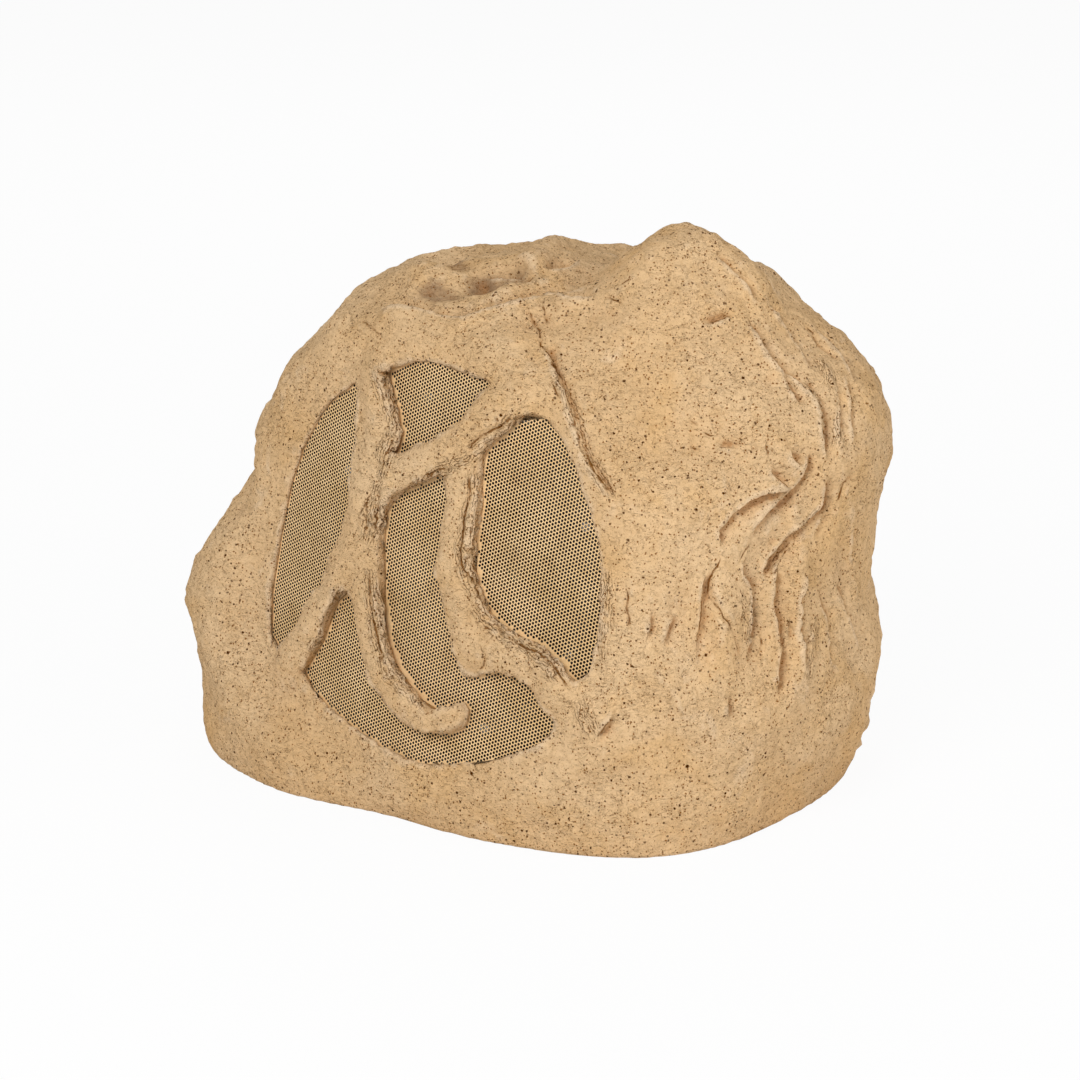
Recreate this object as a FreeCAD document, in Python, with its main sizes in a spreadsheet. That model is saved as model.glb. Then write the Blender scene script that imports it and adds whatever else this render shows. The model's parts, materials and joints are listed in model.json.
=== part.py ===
import FreeCAD, Part
import Sketcher
import math
import os
import re

# Rock speaker: a hollow moulded boulder with a bowed grille behind stone fingers, a coaxial driver on
# a baffle, a crossover on the base plate and a cable gland in the rear wall.
# Millimetres and degrees. Z is up, the grille faces -Y, the origin is the middle of the base.

Vector = FreeCAD.Vector
doc = FreeCAD.newDocument("rock_speaker")
sheet = doc.addObject("Spreadsheet::Sheet", "Sizes")

SIZES = [
    # the boulder
    ("rock_width", 424), ("rock_depth", 343), ("rock_height", 346), ("wall", 12), ("roughness", 1.8),
    # the face, seen from the front, and the opening in it
    ("face_direction", 274), ("face_height", 154.5), ("face_lean", 12), ("bow_radius", 600),
    ("opening_width", 256), ("opening_height", 236), ("lip_depth", 3.5), ("lip_overlap", 5),
    ("finger_rise", 8.5), ("finger_reach", 13), ("dressed_band", 34),
    # the stack behind the opening
    ("grille_thickness", 1), ("grille_play", 0.35), ("fit", 0.5), ("seat_depth", 36), ("seat_margin", 40),
    ("baffle_margin", 14), ("baffle_thickness", 12), ("gasket_thickness", 2), ("baffle_screw_offset", 9.5),
    # the woofer
    ("woofer_radius", 106), ("cutout_radius", 93), ("woofer_seal", 1.5), ("basket_sheet", 2),
    ("basket_depth", 60), ("spider_depth", 48), ("spider_radius", 58), ("cone_radius", 78.5),
    ("coil_radius", 17.6), ("coil_gap", 0.5), ("plate_radius", 46), ("plate_thickness", 6),
    ("magnet_radius", 52), ("magnet_thickness", 20), ("post_radius", 4), ("screw_circle", 101.5),
    # the tweeter on its post
    ("tweeter_radius", 23), ("tweeter_depth", 16), ("dome_radius", 12.5), ("tweeter_lift", 8),
    # the base
    ("rim_width", 14), ("flange_width", 16), ("recess_depth", 12), ("flange_thickness", 8),
    ("base_thickness", 5), ("base_gap", 0.8), ("standoff_height", 8),
    # the crossover
    ("board_length", 110), ("board_width", 80), ("board_thickness", 1.6), ("board_back", "=rock_depth * 0.22"),
    ("inductor_radius", 18), ("inductor_height", 17), ("capacitor_radius", 7), ("capacitor_length", 30),
    ("resistor_length", 26), ("resistor_side", 9),
    # the cable gland
    ("gland_height", 48), ("well_radius", 20), ("well_depth", 25), ("gland_wall", 14),
    ("thread_radius", 8), ("cable_radius", 3.5), ("gland_hex", 22),
    # fasteners
    ("screw_radius", 2), ("screw_head", 3.6), ("head_height", 2.2), ("hole_play", 0.05),
]
for row, (alias, value) in enumerate(SIZES, 1):
    sheet.set("A%d" % row, alias)
    sheet.set("B%d" % row, str(value))
    sheet.setAlias("B%d" % row, alias)
doc.recompute()


def size(alias):
    return float(sheet.get(alias))


def bound(text):
    # an expression over the sheet, written with bare aliases
    return re.sub(r"[a-z]\w*", lambda m: "Sizes." + m.group(0), text)


def value_of(text):
    return float(sheet.evalExpression(text))


nodes = {}


def keep(name, shape_or_object):
    # a node is a bound object, or a plain shape where no feature fits
    item = shape_or_object
    if isinstance(item, Part.Shape):
        item = doc.addObject("Part::Feature", name)
        item.Shape = shape_or_object
    item.Label = name
    nodes[name] = item
    return item


# The boulder's form: reach from the upright axis, every 30 degrees (0 right, 90 rear, 180 left,
# 270 front), at eight heights

HEIGHTS = [0, 45, 95, 160, 210, 255, 287, 309]
SUMMIT = 321
REACH = {
    0: [192, 208, 208, 200, 200, 184, 150, 116],
    30: [191, 205, 206, 205, 213, 199, 165, 124],
    60: [183, 191, 191, 189, 187, 166, 136, 103],
    90: [160, 166, 168, 164, 156, 133, 104, 78],
    120: [170, 176, 176, 168, 155, 130, 100, 74],
    150: [186, 194, 192, 178, 160, 134, 104, 76],
    180: [198, 206, 208, 188, 168, 146, 120, 92],
    210: [221, 225, 235, 200, 180, 154, 125, 95],
    240: [190, 188, 173, 150, 140, 130, 113, 85],
    270: [156, 152, 145, 131, 121, 111, 96, 70],
    300: [172, 174, 164, 141, 130, 120, 103, 78],
    330: [203, 206, 203, 188, 168, 138, 112, 88],
}

# Relief on the flanks: relief in mm, reach of its left and right slopes, then (direction, height) along it
FLANK_STROKES = [
    (-6, 9, 13, [(308, 306), (313, 282), (316, 262), (318, 248), (318, 235), (324, 214)]),
    (-5, 8, 10, [(352, 211), (342, 189), (339, 162), (337, 149), (336, 118)]),
    (-6, 8, 8, [(357, 209), (349, 186), (346, 175), (347, 156), (347, 138), (345, 113)]),
    (-5, 8, 8, [(2, 227), (0, 217), (356, 206)]),
    (-5, 8, 8, [(4, 200), (2, 190), (355, 180), (350, 169), (349, 159)]),
    (-6, 8, 10, [(354, 176), (353, 164), (352, 141), (352, 112), (351, 94)]),
    (-4, 8, 8, [(12, 174), (11, 159), (12, 144)]),
    (4, 9, 8, [(354, 205), (345, 182), (342, 160), (341, 132), (341, 112)]),
    (4, 10, 12, [(0, 182), (357, 160), (356, 130), (356, 95)]),
    (5, 14, 10, [(340, 222), (332, 200), (328, 172), (326, 150), (328, 126), (333, 87)]),
    (-5, 14, 16, [(344, 243), (349, 236)]),
    (-5, 8, 10, [(350, 300), (355, 300), (4, 300)]),
    (-4, 8, 8, [(329, 150), (327, 129)]),
    (-3, 8, 8, [(334, 149), (331, 132)]),
    (5, 12, 16, [(224, 282), (214, 240), (208, 205)]),
    (-5, 12, 12, [(200, 225), (205, 190), (214, 160)]),
    (-6, 10, 14, [(150, 215), (138, 170), (142, 120), (136, 70)]),
    (5, 14, 14, [(125, 200), (118, 150), (112, 95)]),
    (-6, 12, 12, [(100, 230), (92, 180), (80, 140)]),
    (6, 14, 16, [(75, 220), (64, 170), (58, 110), (62, 60)]),
    (-5, 10, 12, [(38, 190), (34, 140), (40, 90)]),
    (-5, 12, 12, [(175, 150), (168, 110), (172, 60)]),
]
# Relief on the crown, along (x, y)
CROWN_STROKES = [
    (-6, 8, 13, [(-62, -72), (-50, -82), (-21, -87), (9, -88), (24, -83), (41, -73), (76, -46)]),
    (-4, 8, 9, [(-27, -74), (-4, -79), (13, -77)]),
    (-4, 9, 11, [(-20, -58), (-7, -53), (3, -48), (16, -39)]),
    (4, 15, 12, [(14, -44), (9, -36), (-8, 8), (-20, 40), (-52, 66)]),
    (-9, 18, 18, [(38, -52), (44, -20), (42, 20), (30, 66)]),
    (5, 12, 10, [(88, -14), (98, 8), (105, 20), (115, 22)]),
    (4, 13, 9, [(110, 20), (122, 31), (136, 29), (163, 8), (188, 26)]),
    (-5, 12, 12, [(-70, -20), (-50, 8), (-66, 40)]),
    (5, 12, 14, [(60, 60), (20, 96), (-30, 104)]),
]
PEAK_PLACE = (93, 20)
PEAK_REACH = (41, 48)
PEAK_RISE = 32


def blend_four(p, t):
    # the smooth curve through p[1] and p[2]
    rise = p[2] - p[0]
    bend = 2 * p[0] - 5 * p[1] + 4 * p[2] - p[3]
    twist = 3 * p[1] - p[0] - 3 * p[2] + p[3]
    return 0.5 * (2 * p[1] + rise * t + bend * t * t + twist * t ** 3)


def contour_grid(around, up):
    # columns of points from the base to the summit
    columns = []
    for k in range(around):
        turn = 360.0 * k / around
        step = int(turn // 30)
        near = [REACH[(30 * (step + j)) % 360] for j in (-1, 0, 1, 2)]
        profile = []
        for level, height in enumerate(HEIGHTS):
            reach = blend_four([ring[level] for ring in near], turn / 30 - step)
            profile.append(Vector(reach, 0, height))
        profile.append(Vector(0.55 * profile[-1].x, 0, SUMMIT - 4))
        profile.append(Vector(0, 0, SUMMIT))
        meridian = Part.BSplineCurve()
        meridian.interpolate(profile, InitialTangent=Vector(0.25, 0, 1), FinalTangent=Vector(-1, 0, 0))
        ca, sa = math.cos(math.radians(turn)), math.sin(math.radians(turn))
        columns.append([Vector(p.x * ca, p.x * sa, p.z) for p in meridian.discretize(up)])
    for column in columns:
        for p in column:
            if p.z > 200:
                far = math.hypot((p.x - PEAK_PLACE[0]) / PEAK_REACH[0], (p.y - PEAK_PLACE[1]) / PEAK_REACH[1])
                p.z += PEAK_RISE * math.exp(-far * far)
    return columns


def normals_of(grid):
    around, up = len(grid), len(grid[0])
    table = []
    for i in range(around):
        line = []
        for j in range(up):
            along = grid[(i + 1) % around][j] - grid[i - 1][j]
            rise = grid[i][min(j + 1, up - 1)] - grid[i][max(j - 1, 0)]
            normal = along.cross(rise)
            if j == up - 1 or normal.Length < 1e-6:
                normal = Vector(0, 0, 1)
            line.append(normal.normalize())
        table.append(line)
    return table


def surface_at(grid, direction, height):
    # the point of the form in a plan direction and at a height
    around = len(grid)
    place = (direction % 360) * around / 360.0
    i = int(place)
    t = place - i
    best = None
    for j in range(len(grid[0]) - 1):
        low = grid[i % around][j] * (1 - t) + grid[(i + 1) % around][j] * t
        high = grid[i % around][j + 1] * (1 - t) + grid[(i + 1) % around][j + 1] * t
        if low.z <= height <= high.z and best is None:
            best = low + (high - low) * ((height - low.z) / max(high.z - low.z, 1e-9))
    return best or high


def stroke_push(p, normal, path, relief, left, right):
    # height of one stroke at a point: a rounded ridge with slopes of its own on each side
    nearest = None
    for a, b in zip(path, path[1:]):
        run = b - a
        t = max(0.0, min(1.0, (p - a).dot(run) / run.dot(run)))
        off = p - (a + run * t)
        if nearest is None or off.Length < nearest[0]:
            nearest = (off.Length, run.cross(off).dot(normal))
    reach = left if nearest[1] > 0 else right
    ratio = nearest[0] / reach
    return 0.0 if ratio > 3 else relief * math.exp(-ratio * ratio)


def carve(grid):
    # the strokes and a low roughness, worked into the contour grid
    normals = normals_of(grid)
    flank = []
    for relief, left, right, line in FLANK_STROKES:
        flank.append((relief, left, right, [surface_at(grid, d, h) for d, h in line]))
    crown = []
    for relief, left, right, line in CROWN_STROKES:
        crown.append((relief, left, right, [Vector(x, y, 0) for x, y in line]))
    up = Vector(0, 0, 1)
    carved = []
    for i, column in enumerate(grid):
        line = []
        for j, p in enumerate(column):
            side = sum(stroke_push(p, normals[i][j], path, r, a, b) for r, a, b, path in flank)
            wave = math.sin(0.061 * p.x + 0.043 * p.z + 1.3) * math.sin(0.052 * p.y - 0.071 * p.z)
            wave += 0.7 * math.sin(0.083 * p.z + 0.047 * p.y) * math.sin(0.074 * p.x - 0.039 * p.y + 0.6)
            fade = min(1.0, p.z / 30.0) * min(1.0, math.hypot(p.x, p.y) / 40.0)
            push = normals[i][j] * (side * min(1.0, p.z / 40.0) + size("roughness") * wave * fade)
            lift = 0.0
            if p.z > 262:
                flat = Vector(p.x, p.y, 0)
                lift = sum(stroke_push(flat, up, path, r, a, b) for r, a, b, path in crown)
                lift *= min(1.0, (p.z - 262) / 20.0)
            line.append(p + push + up * lift)
        carved.append(line)
    return carved


def fitted(grid):
    # the grid moved and scaled onto the sheet's overall width, depth and height
    points = [p for column in grid for p in column]
    low = [min(p[k] for p in points) for k in range(3)]
    high = [max(p[k] for p in points) for k in range(3)]
    span = [size("rock_width"), size("rock_depth"), size("rock_height")]
    scale = [span[k] / (high[k] - low[k]) for k in range(3)]
    middle = [(low[0] + high[0]) / 2, (low[1] + high[1]) / 2, low[2]]

    def move(p):
        return Vector(*[(p[k] - middle[k]) * scale[k] for k in range(3)])
    return move


def skin(grid):
    # a closed solid under the smooth skin whose poles are the grid, flat at the base
    around, up = len(grid), len(grid[0])
    surface = Part.BSplineSurface()
    surface.buildFromPolesMultsKnots(
        grid, [1] * (around + 1), [4] + [1] * (up - 4) + [4],
        list(range(around + 1)), list(range(up - 2)), True, False, 3, 3)
    face = surface.toShape()
    edge = [e for e in face.Edges if not e.Degenerated and e.BoundBox.ZMax < 1e-6]
    base = Part.Face(Part.Wire(edge))
    base.reverse()
    return Part.Solid(Part.Shell([face, base]))


AROUND, UP = 128, 52
plain = contour_grid(AROUND, UP)
rough = carve(plain)
move = fitted(rough)
rough = [[move(p) for p in column] for column in rough]
for column in rough:
    column[0].z = 0.0
plain = [[move(p) for p in column] for column in plain]

# The face frame: x across, y up the leaning face, z out of it

face_origin = surface_at(plain, size("face_direction"), size("face_height"))
face_place = FreeCAD.Placement(face_origin, FreeCAD.Rotation(Vector(1, 0, 0), 90 - size("face_lean")))
to_face = face_place.inverse()
bow_radius = size("bow_radius")
lip_depth = size("lip_depth")

# The opening's outline, as parts of half its width and height
OUTLINE = [
    (-0.57, 0.82), (-0.76, 0.67), (-0.88, 0.47), (-0.96, 0.21), (-1.00, -0.10), (-1.00, -0.36), (-0.97, -0.56),
    (-0.88, -0.69), (-0.69, -0.78), (-0.43, -0.88), (-0.13, -0.97), (0.12, -1.00), (0.39, -0.95), (0.65, -0.85),
    (0.83, -0.70), (0.95, -0.44), (1.00, -0.17), (0.99, 0.07), (0.93, 0.31), (0.80, 0.58), (0.65, 0.79),
    (0.45, 0.92), (0.17, 0.99), (-0.08, 1.00), (-0.33, 0.95),
]
# The windows that the stone fingers leave open, in the same parts
WINDOWS = {
    "left": [
        (-0.57, 0.82), (-0.76, 0.67), (-0.88, 0.46), (-0.96, 0.21), (-0.99, -0.10), (-1.00, -0.36),
        (-0.97, -0.56), (-0.90, -0.67), (-0.80, -0.60), (-0.73, -0.44), (-0.62, -0.23), (-0.54, 0.02),
        (-0.50, 0.28), (-0.49, 0.53), (-0.50, 0.73),
    ],
    "top": [
        (0.28, 0.97), (0.16, 0.99), (0.04, 1.00), (-0.09, 1.00), (-0.21, 0.99), (-0.32, 0.95),
        (-0.38, 0.90), (-0.33, 0.81), (-0.26, 0.70), (-0.23, 0.60), (-0.27, 0.51), (-0.20, 0.50),
        (-0.10, 0.56), (0.02, 0.63), (0.16, 0.75), (0.23, 0.87),
    ],
    "right": [
        (0.60, 0.83), (0.52, 0.85), (0.45, 0.83), (0.35, 0.72), (0.27, 0.61), (0.27, 0.48), (0.30, 0.34),
        (0.29, 0.19), (0.30, 0.07), (0.35, -0.05), (0.41, -0.13), (0.47, -0.21), (0.56, -0.24),
        (0.67, -0.25), (0.77, -0.30), (0.87, -0.38), (0.93, -0.41), (0.98, -0.33), (1.00, -0.18),
        (1.00, -0.02), (0.98, 0.14), (0.93, 0.31), (0.86, 0.48), (0.77, 0.65), (0.68, 0.76),
    ],
    "low": [
        (0.07, 0.48), (-0.06, 0.40), (-0.20, 0.31), (-0.27, 0.23), (-0.26, 0.09), (-0.23, -0.06),
        (-0.21, -0.20), (-0.17, -0.37), (-0.10, -0.50), (-0.01, -0.60), (0.10, -0.67), (0.20, -0.71),
        (0.28, -0.67), (0.35, -0.63), (0.39, -0.67), (0.38, -0.74), (0.30, -0.80), (0.18, -0.83),
        (0.05, -0.79), (-0.08, -0.72), (-0.17, -0.64), (-0.26, -0.52), (-0.31, -0.39), (-0.36, -0.28),
        (-0.42, -0.22), (-0.48, -0.26), (-0.53, -0.37), (-0.56, -0.49), (-0.61, -0.61), (-0.68, -0.72),
        (-0.59, -0.80), (-0.43, -0.87), (-0.27, -0.92), (-0.12, -0.96), (0.04, -1.00), (0.20, -0.99),
        (0.35, -0.95), (0.50, -0.90), (0.65, -0.83), (0.77, -0.76), (0.85, -0.67), (0.88, -0.62),
        (0.81, -0.56), (0.70, -0.47), (0.60, -0.44), (0.51, -0.44), (0.42, -0.47), (0.35, -0.47),
        (0.29, -0.41), (0.23, -0.30), (0.16, -0.14), (0.12, 0.00), (0.11, 0.18), (0.11, 0.36),
    ],
}
# The fingers' middle lines, where the stone stands proud
FINGERS = [
    [(-0.41, 1.04), (-0.41, 0.83), (-0.37, 0.66), (-0.38, 0.28), (-0.39, 0.06), (-0.54, -0.30), (-0.77, -0.71)],
    [(-0.34, -0.02), (-0.29, -0.23), (-0.23, -0.42), (-0.15, -0.56), (-0.01, -0.67), (0.13, -0.76),
     (0.29, -0.72)],
    [(0.46, 0.99), (0.35, 0.85), (0.23, 0.73), (0.07, 0.58), (-0.09, 0.47), (-0.26, 0.36)],
    [(0.18, 0.51), (0.20, 0.15), (0.22, 0.00), (0.35, -0.32), (0.46, -0.35), (0.62, -0.34), (0.88, -0.50),
     (0.98, -0.57)],
]
half_width, half_height = size("opening_width") / 2, size("opening_height") / 2


def closed_curve(points):
    curve = Part.BSplineCurve()
    curve.interpolate(points, PeriodicFlag=True)
    return curve


def grown(points, step, count=72):
    # points of a closed outline moved outwards by a step, all at the outline's own height
    curve = closed_curve(points)
    first, last = curve.FirstParameter, curve.LastParameter
    result = []
    for k in range(count):
        at = first + (last - first) * k / count
        p = curve.value(at)
        along = curve.tangent(at)[0]
        out = Vector(along.y, -along.x, 0)
        result.append(p + out * step)
    return result


def on_face(parts):
    return [Vector(x * half_width, y * half_height, 0) for x, y in parts]


# every outline runs left from its top, so its right-hand side faces outwards
opening = grown(on_face(OUTLINE), 0.0)
finger_lines = [on_face(parts) for parts in FINGERS]


def prism(points, low, high, place=None):
    face = Part.Face(Part.Wire(closed_curve(points).toShape()))
    body = face.extrude(Vector(0, 0, high - low))
    body.translate(Vector(0, 0, low))
    return placed(body, place) if place is not None else body


def placed(shape, place):
    copy = shape.copy()
    copy.Placement = place.multiply(copy.Placement)
    return copy


def bowed(front_drop, radius_cut=0.0):
    # a long cylinder whose crest lies front_drop behind the face at its middle
    radius = bow_radius - radius_cut
    body = Part.makeCylinder(radius, 500)
    body.rotate(Vector(0, 0, 0), Vector(1, 0, 0), -90)
    body.translate(Vector(0, -250, -front_drop - bow_radius))
    return placed(body, face_place)


def inside_gap(p, ring):
    # signed distance from a closed outline, positive outside it
    inside = False
    best = 1e9
    for a, b in zip(ring, ring[1:] + ring[:1]):
        run = b - a
        t = max(0.0, min(1.0, (p - a).dot(run) / run.dot(run)))
        best = min(best, (p - a - run * t).Length)
        if (a.y > p.y) != (b.y > p.y) and p.x < a.x + (p.y - a.y) * (b.x - a.x) / (b.y - a.y):
            inside = not inside
    return -best if inside else best


def dressed(grid):
    # the stone round the opening is worked to the same bow as the grille, and the fingers stand proud of it
    out = face_place.Rotation.multVec(Vector(0, 0, 1))
    band = size("dressed_band")
    finger_rise, reach = size("finger_rise"), size("finger_reach")
    up = Vector(0, 0, 1)
    result = []
    for column in grid:
        line = []
        for p in column:
            q = to_face.multVec(p)
            if q.z > -110 and abs(q.x) < half_width + 60 and abs(q.y) < half_height + 60:
                far = inside_gap(Vector(q.x, q.y, 0), opening)
                t = max(0.0, min(1.0, (far - 8) / band))
                share = 1 - t * t * (3 - 2 * t)
                level = -q.x * q.x / (2 * (bow_radius + lip_depth))
                flat = Vector(q.x, q.y, 0)
                proud = [stroke_push(flat, up, path, finger_rise, reach, reach) for path in finger_lines]
                level += max(proud) * min(1.0, max(0.0, 1 - far / 20))
                p = p + out * (share * (level - q.z))
            line.append(p)
        result.append(line)
    for line in result:
        line[0].z = 0.0
    return result


boulder = skin(dressed(rough))

# The hollow: a plainer form one wall thickness further in

inner = [[move(p) for p in column] for column in contour_grid(48, 26)]
inner_normals = normals_of(inner)
wall = size("wall")
hollow_grid = []
for i, column in enumerate(inner):
    line = [p - inner_normals[i][j] * wall for j, p in enumerate(column)]
    line[0].z = 0.0
    hollow_grid.append(line)
hollow = skin(hollow_grid)

flange_top = size("recess_depth") + size("flange_thickness")
foot = [Vector(column[0].x, column[0].y, 0) for column in plain[::2]]
rim_line = grown(foot, -size("rim_width"))
flange_line = grown(foot, -size("rim_width") - size("flange_width"))

seat_depth = size("seat_depth")
lip_line = grown(opening, size("lip_overlap"))
seat_line = grown(opening, size("seat_margin"))
baffle_line = grown(opening, size("baffle_margin"))

gland_mouth = surface_at(plain, 92, size("gland_height"))
gland_face = gland_mouth.y - size("well_depth")
gland_back = gland_face - size("gland_wall")
gland_axis = Vector(gland_mouth.x, 0, size("gland_height"))


def rearward(radius, start, end):
    # a cylinder on the gland's axis
    at = Vector(gland_axis.x, start, gland_axis.z)
    return Part.makeCylinder(radius, end - start, at, Vector(0, 1, 0))


seat_block = prism(seat_line, -seat_depth, 90, face_place)
gland_boss = rearward(size("well_radius") + wall, gland_back, 260)
below = Part.makeBox(600, 600, flange_top, Vector(-300, -300, 0))
hollow = hollow.cut([below, seat_block, gland_boss])

flange_hole = prism(flange_line, size("recess_depth") - 1, flange_top + 1)
base_recess = prism(rim_line, -1, size("recess_depth"))
grille_pocket = prism(lip_line, -seat_depth - 1, 40, face_place).common(bowed(lip_depth))
# the baffle's pocket bites a little into the wall where the boulder is narrow
stack_depth = seat_depth + size("gasket_thickness") + size("baffle_thickness")
above_floor = Part.makeBox(600, 600, 600, Vector(-300, -300, flange_top + 3))
baffle_pocket = prism(grown(opening, size("baffle_margin") + 0.6), -stack_depth - 4, -seat_depth, face_place)
baffle_pocket = baffle_pocket.common(above_floor)


def window(parts):
    # one opening between the fingers, flat-sided, from the grille's pocket out through the stone
    corners = on_face(parts)
    body = Part.Face(Part.makePolygon(corners + corners[:1])).extrude(Vector(0, 0, seat_depth + 38))
    body.translate(Vector(0, 0, 2 - seat_depth))
    return placed(body, face_place)


# the screw places

def spaced(points, count, start=0.0):
    curve = closed_curve(points)
    span = curve.length()
    return [curve.value(curve.parameterAtDistance(span * (k + start) / count)) for k in range(count)]


baffle_points = spaced(grown(opening, size("baffle_screw_offset")), 10, 0.5)
screw_floor = flange_top + 12
baffle_points = [p for p in baffle_points if face_place.multVec(p - Vector(0, 0, stack_depth)).z > screw_floor]
base_points = spaced(grown(foot, -size("rim_width") - 0.5 * size("flange_width")), 8, 0.25)
screw_radius = size("screw_radius")
pilot_radius = screw_radius + size("hole_play")


def pin(points, radius, low, high, place=None):
    group = []
    for p in points:
        one = Part.makeCylinder(radius, high - low, p + Vector(0, 0, low))
        group.append(placed(one, place) if place is not None else one)
    return group


seat_pilots = pin(baffle_points, pilot_radius, -seat_depth - 1, -seat_depth + 13, face_place)
rim_pilots = pin(base_points, pilot_radius, size("recess_depth") - 1, flange_top + 1)
gland_well = rearward(size("well_radius"), gland_face, 260)
gland_hole = rearward(size("thread_radius") + 0.2, gland_back - 30, gland_face + 1)

windows = [window(parts) for parts in WINDOWS.values()]
shell = boulder.cut([hollow, flange_hole, base_recess, baffle_pocket, gland_well, gland_hole])
for cutter in [grille_pocket] + windows:
    shell = shell.cut(cutter)
keep("rock_shell", shell.cut(seat_pilots + rim_pilots).Solids[0])

# Grille, ring, gasket and baffle, stacked behind the opening

fit = size("fit")
grille_line = grown(opening, size("lip_overlap") - fit)
grille_play = size("grille_play")
grille_back = size("grille_thickness") + grille_play
grille_blank = prism(grille_line, -seat_depth, 40, face_place)
keep("grille", grille_blank.common(bowed(lip_depth, grille_play)).cut(bowed(lip_depth, grille_back)))
ring_body = prism(grille_line, -seat_depth, 40, face_place).common(bowed(lip_depth, grille_back))
keep("grille_ring", ring_body.cut(prism(grown(opening, -1.0), -90, 60, face_place)))

gasket_hole = prism(grown(opening, 1.5), -90, 60, face_place)
gasket_body = prism(baffle_line, -seat_depth - size("gasket_thickness"), -seat_depth, face_place)
gasket_pins = pin(baffle_points, pilot_radius + 0.2, -90, 20, face_place)
keep("baffle_gasket", gasket_body.cut([gasket_hole] + gasket_pins).common(above_floor))

driver_place = face_place.multiply(FreeCAD.Placement(
    Vector(0, 0, -seat_depth - size("gasket_thickness")), FreeCAD.Rotation()))
screw_circle = size("screw_circle")
woofer_points = []
for k in range(8):
    turn = math.radians(45.0 * k + 22.5)
    woofer_points.append(Vector(screw_circle * math.cos(turn), screw_circle * math.sin(turn), 0))
baffle_thickness = size("baffle_thickness")
baffle_body = prism(baffle_line, -stack_depth, -seat_depth - size("gasket_thickness"), face_place)
cutout = placed(Part.makeCylinder(size("cutout_radius"), 60, Vector(0, 0, -30)), driver_place)
woofer_pilots = pin(woofer_points, pilot_radius, -20, 5, driver_place)
keep("baffle", baffle_body.cut([cutout] + gasket_pins + woofer_pilots).common(above_floor))


def screws(name, points, head_level, length, place=None, turned_over=False):
    # pan-head screws: the head stands on head_level and the shank runs the other way
    group = []
    for p in points:
        shank = Part.makeCylinder(screw_radius, length, Vector(0, 0, -length))
        head = Part.makeCylinder(size("screw_head"), size("head_height"))
        head = head.makeChamfer(0.8, [e for e in head.Edges if e.BoundBox.ZMin > 1])
        floor = size("head_height") - 0.9
        slot = Part.makeBox(0.8, 2 * size("screw_head"), 1.2, Vector(-0.4, -size("screw_head"), floor))
        cross = slot.copy()
        cross.rotate(Vector(0, 0, 0), Vector(0, 0, 1), 90)
        core = Part.makeCylinder(0.55 * size("screw_head"), 2, Vector(0, 0, floor))
        one = head.fuse(shank).cut(slot.fuse(cross).common(core)).removeSplitter()
        if turned_over:
            one.rotate(Vector(0, 0, 0), Vector(1, 0, 0), 180)
        one.translate(Vector(p.x, p.y, head_level))
        group.append(placed(one, place) if place is not None else one)
    return keep(name, Part.makeCompound(group))


baffle_screw = baffle_thickness + size("gasket_thickness") + 11
screws("baffle_screws", baffle_points, -stack_depth, baffle_screw, face_place, True)
screws("woofer_screws", woofer_points, size("woofer_seal") + size("basket_sheet"), 13, driver_place)

# Turned pieces: a body, a profile bound to the sheet and a revolution


def turned(name, profile, place):
    body = doc.addObject("PartDesign::Body", name)
    plane = [o for o in body.Origin.OriginFeatures if o.Role == "XZ_Plane"][0]
    sketch = body.newObject("Sketcher::SketchObject", name + "_profile")
    sketch.AttachmentSupport = (plane, [""])
    sketch.MapMode = "FlatFace"
    points = [Vector(value_of(r), value_of(z), 0) for r, z in profile]
    count = len(points)
    for k in range(count):
        sketch.addGeometry(Part.LineSegment(points[k], points[(k + 1) % count]))
    for k in range(count):
        sketch.addConstraint(Sketcher.Constraint("Coincident", k, 2, (k + 1) % count, 1))
    for k, (r, z) in enumerate(profile):
        for kind, text, now in (("DistanceX", r, points[k].x), ("DistanceY", z, points[k].y)):
            if re.fullmatch(r"0", text):
                target = -2 if kind == "DistanceX" else -1
                sketch.addConstraint(Sketcher.Constraint("PointOnObject", k, 1, target))
            else:
                number = sketch.addConstraint(Sketcher.Constraint(kind, -1, 1, k, 1, now))
                sketch.setExpression("Constraints[%d]" % number, bound(text))
    spin = body.newObject("PartDesign::Revolution", name + "_turned")
    spin.Profile = sketch
    spin.ReferenceAxis = (sketch, ["V_Axis"])
    spin.Angle = 360
    body.Placement = place
    keep(name, body)
    return body


def drilled(body, name, radius, across, count, turn=0.0):
    # a ring of through holes in a turned body
    plane = [o for o in body.Origin.OriginFeatures if o.Role == "XY_Plane"][0]
    axis = [o for o in body.Origin.OriginFeatures if o.Role == "Z_Axis"][0]
    sketch = body.newObject("Sketcher::SketchObject", name + "_sketch")
    sketch.AttachmentSupport = (plane, [""])
    sketch.MapMode = "FlatFace"
    sketch.AttachmentOffset = FreeCAD.Placement(Vector(0, 0, 0), FreeCAD.Rotation(Vector(0, 0, 1), turn))
    sketch.addGeometry(Part.Circle(Vector(value_of(across), 0, 0), Vector(0, 0, 1), value_of(radius)))
    sketch.addConstraint(Sketcher.Constraint("PointOnObject", 0, 3, -1))
    number = sketch.addConstraint(Sketcher.Constraint("DistanceX", -1, 1, 0, 3, value_of(across)))
    sketch.setExpression("Constraints[%d]" % number, bound(across))
    number = sketch.addConstraint(Sketcher.Constraint("Radius", 0, value_of(radius)))
    sketch.setExpression("Constraints[%d]" % number, bound(radius))
    hole = body.newObject("PartDesign::Pocket", name)
    hole.Profile = sketch
    hole.Type = 1
    hole.Midplane = True
    ring = body.newObject("PartDesign::PolarPattern", name + "_ring")
    ring.Originals = [hole]
    ring.Axis = (axis, [""])
    ring.Angle = 360
    ring.Occurrences = count
    body.Tip = ring
    return body


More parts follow.
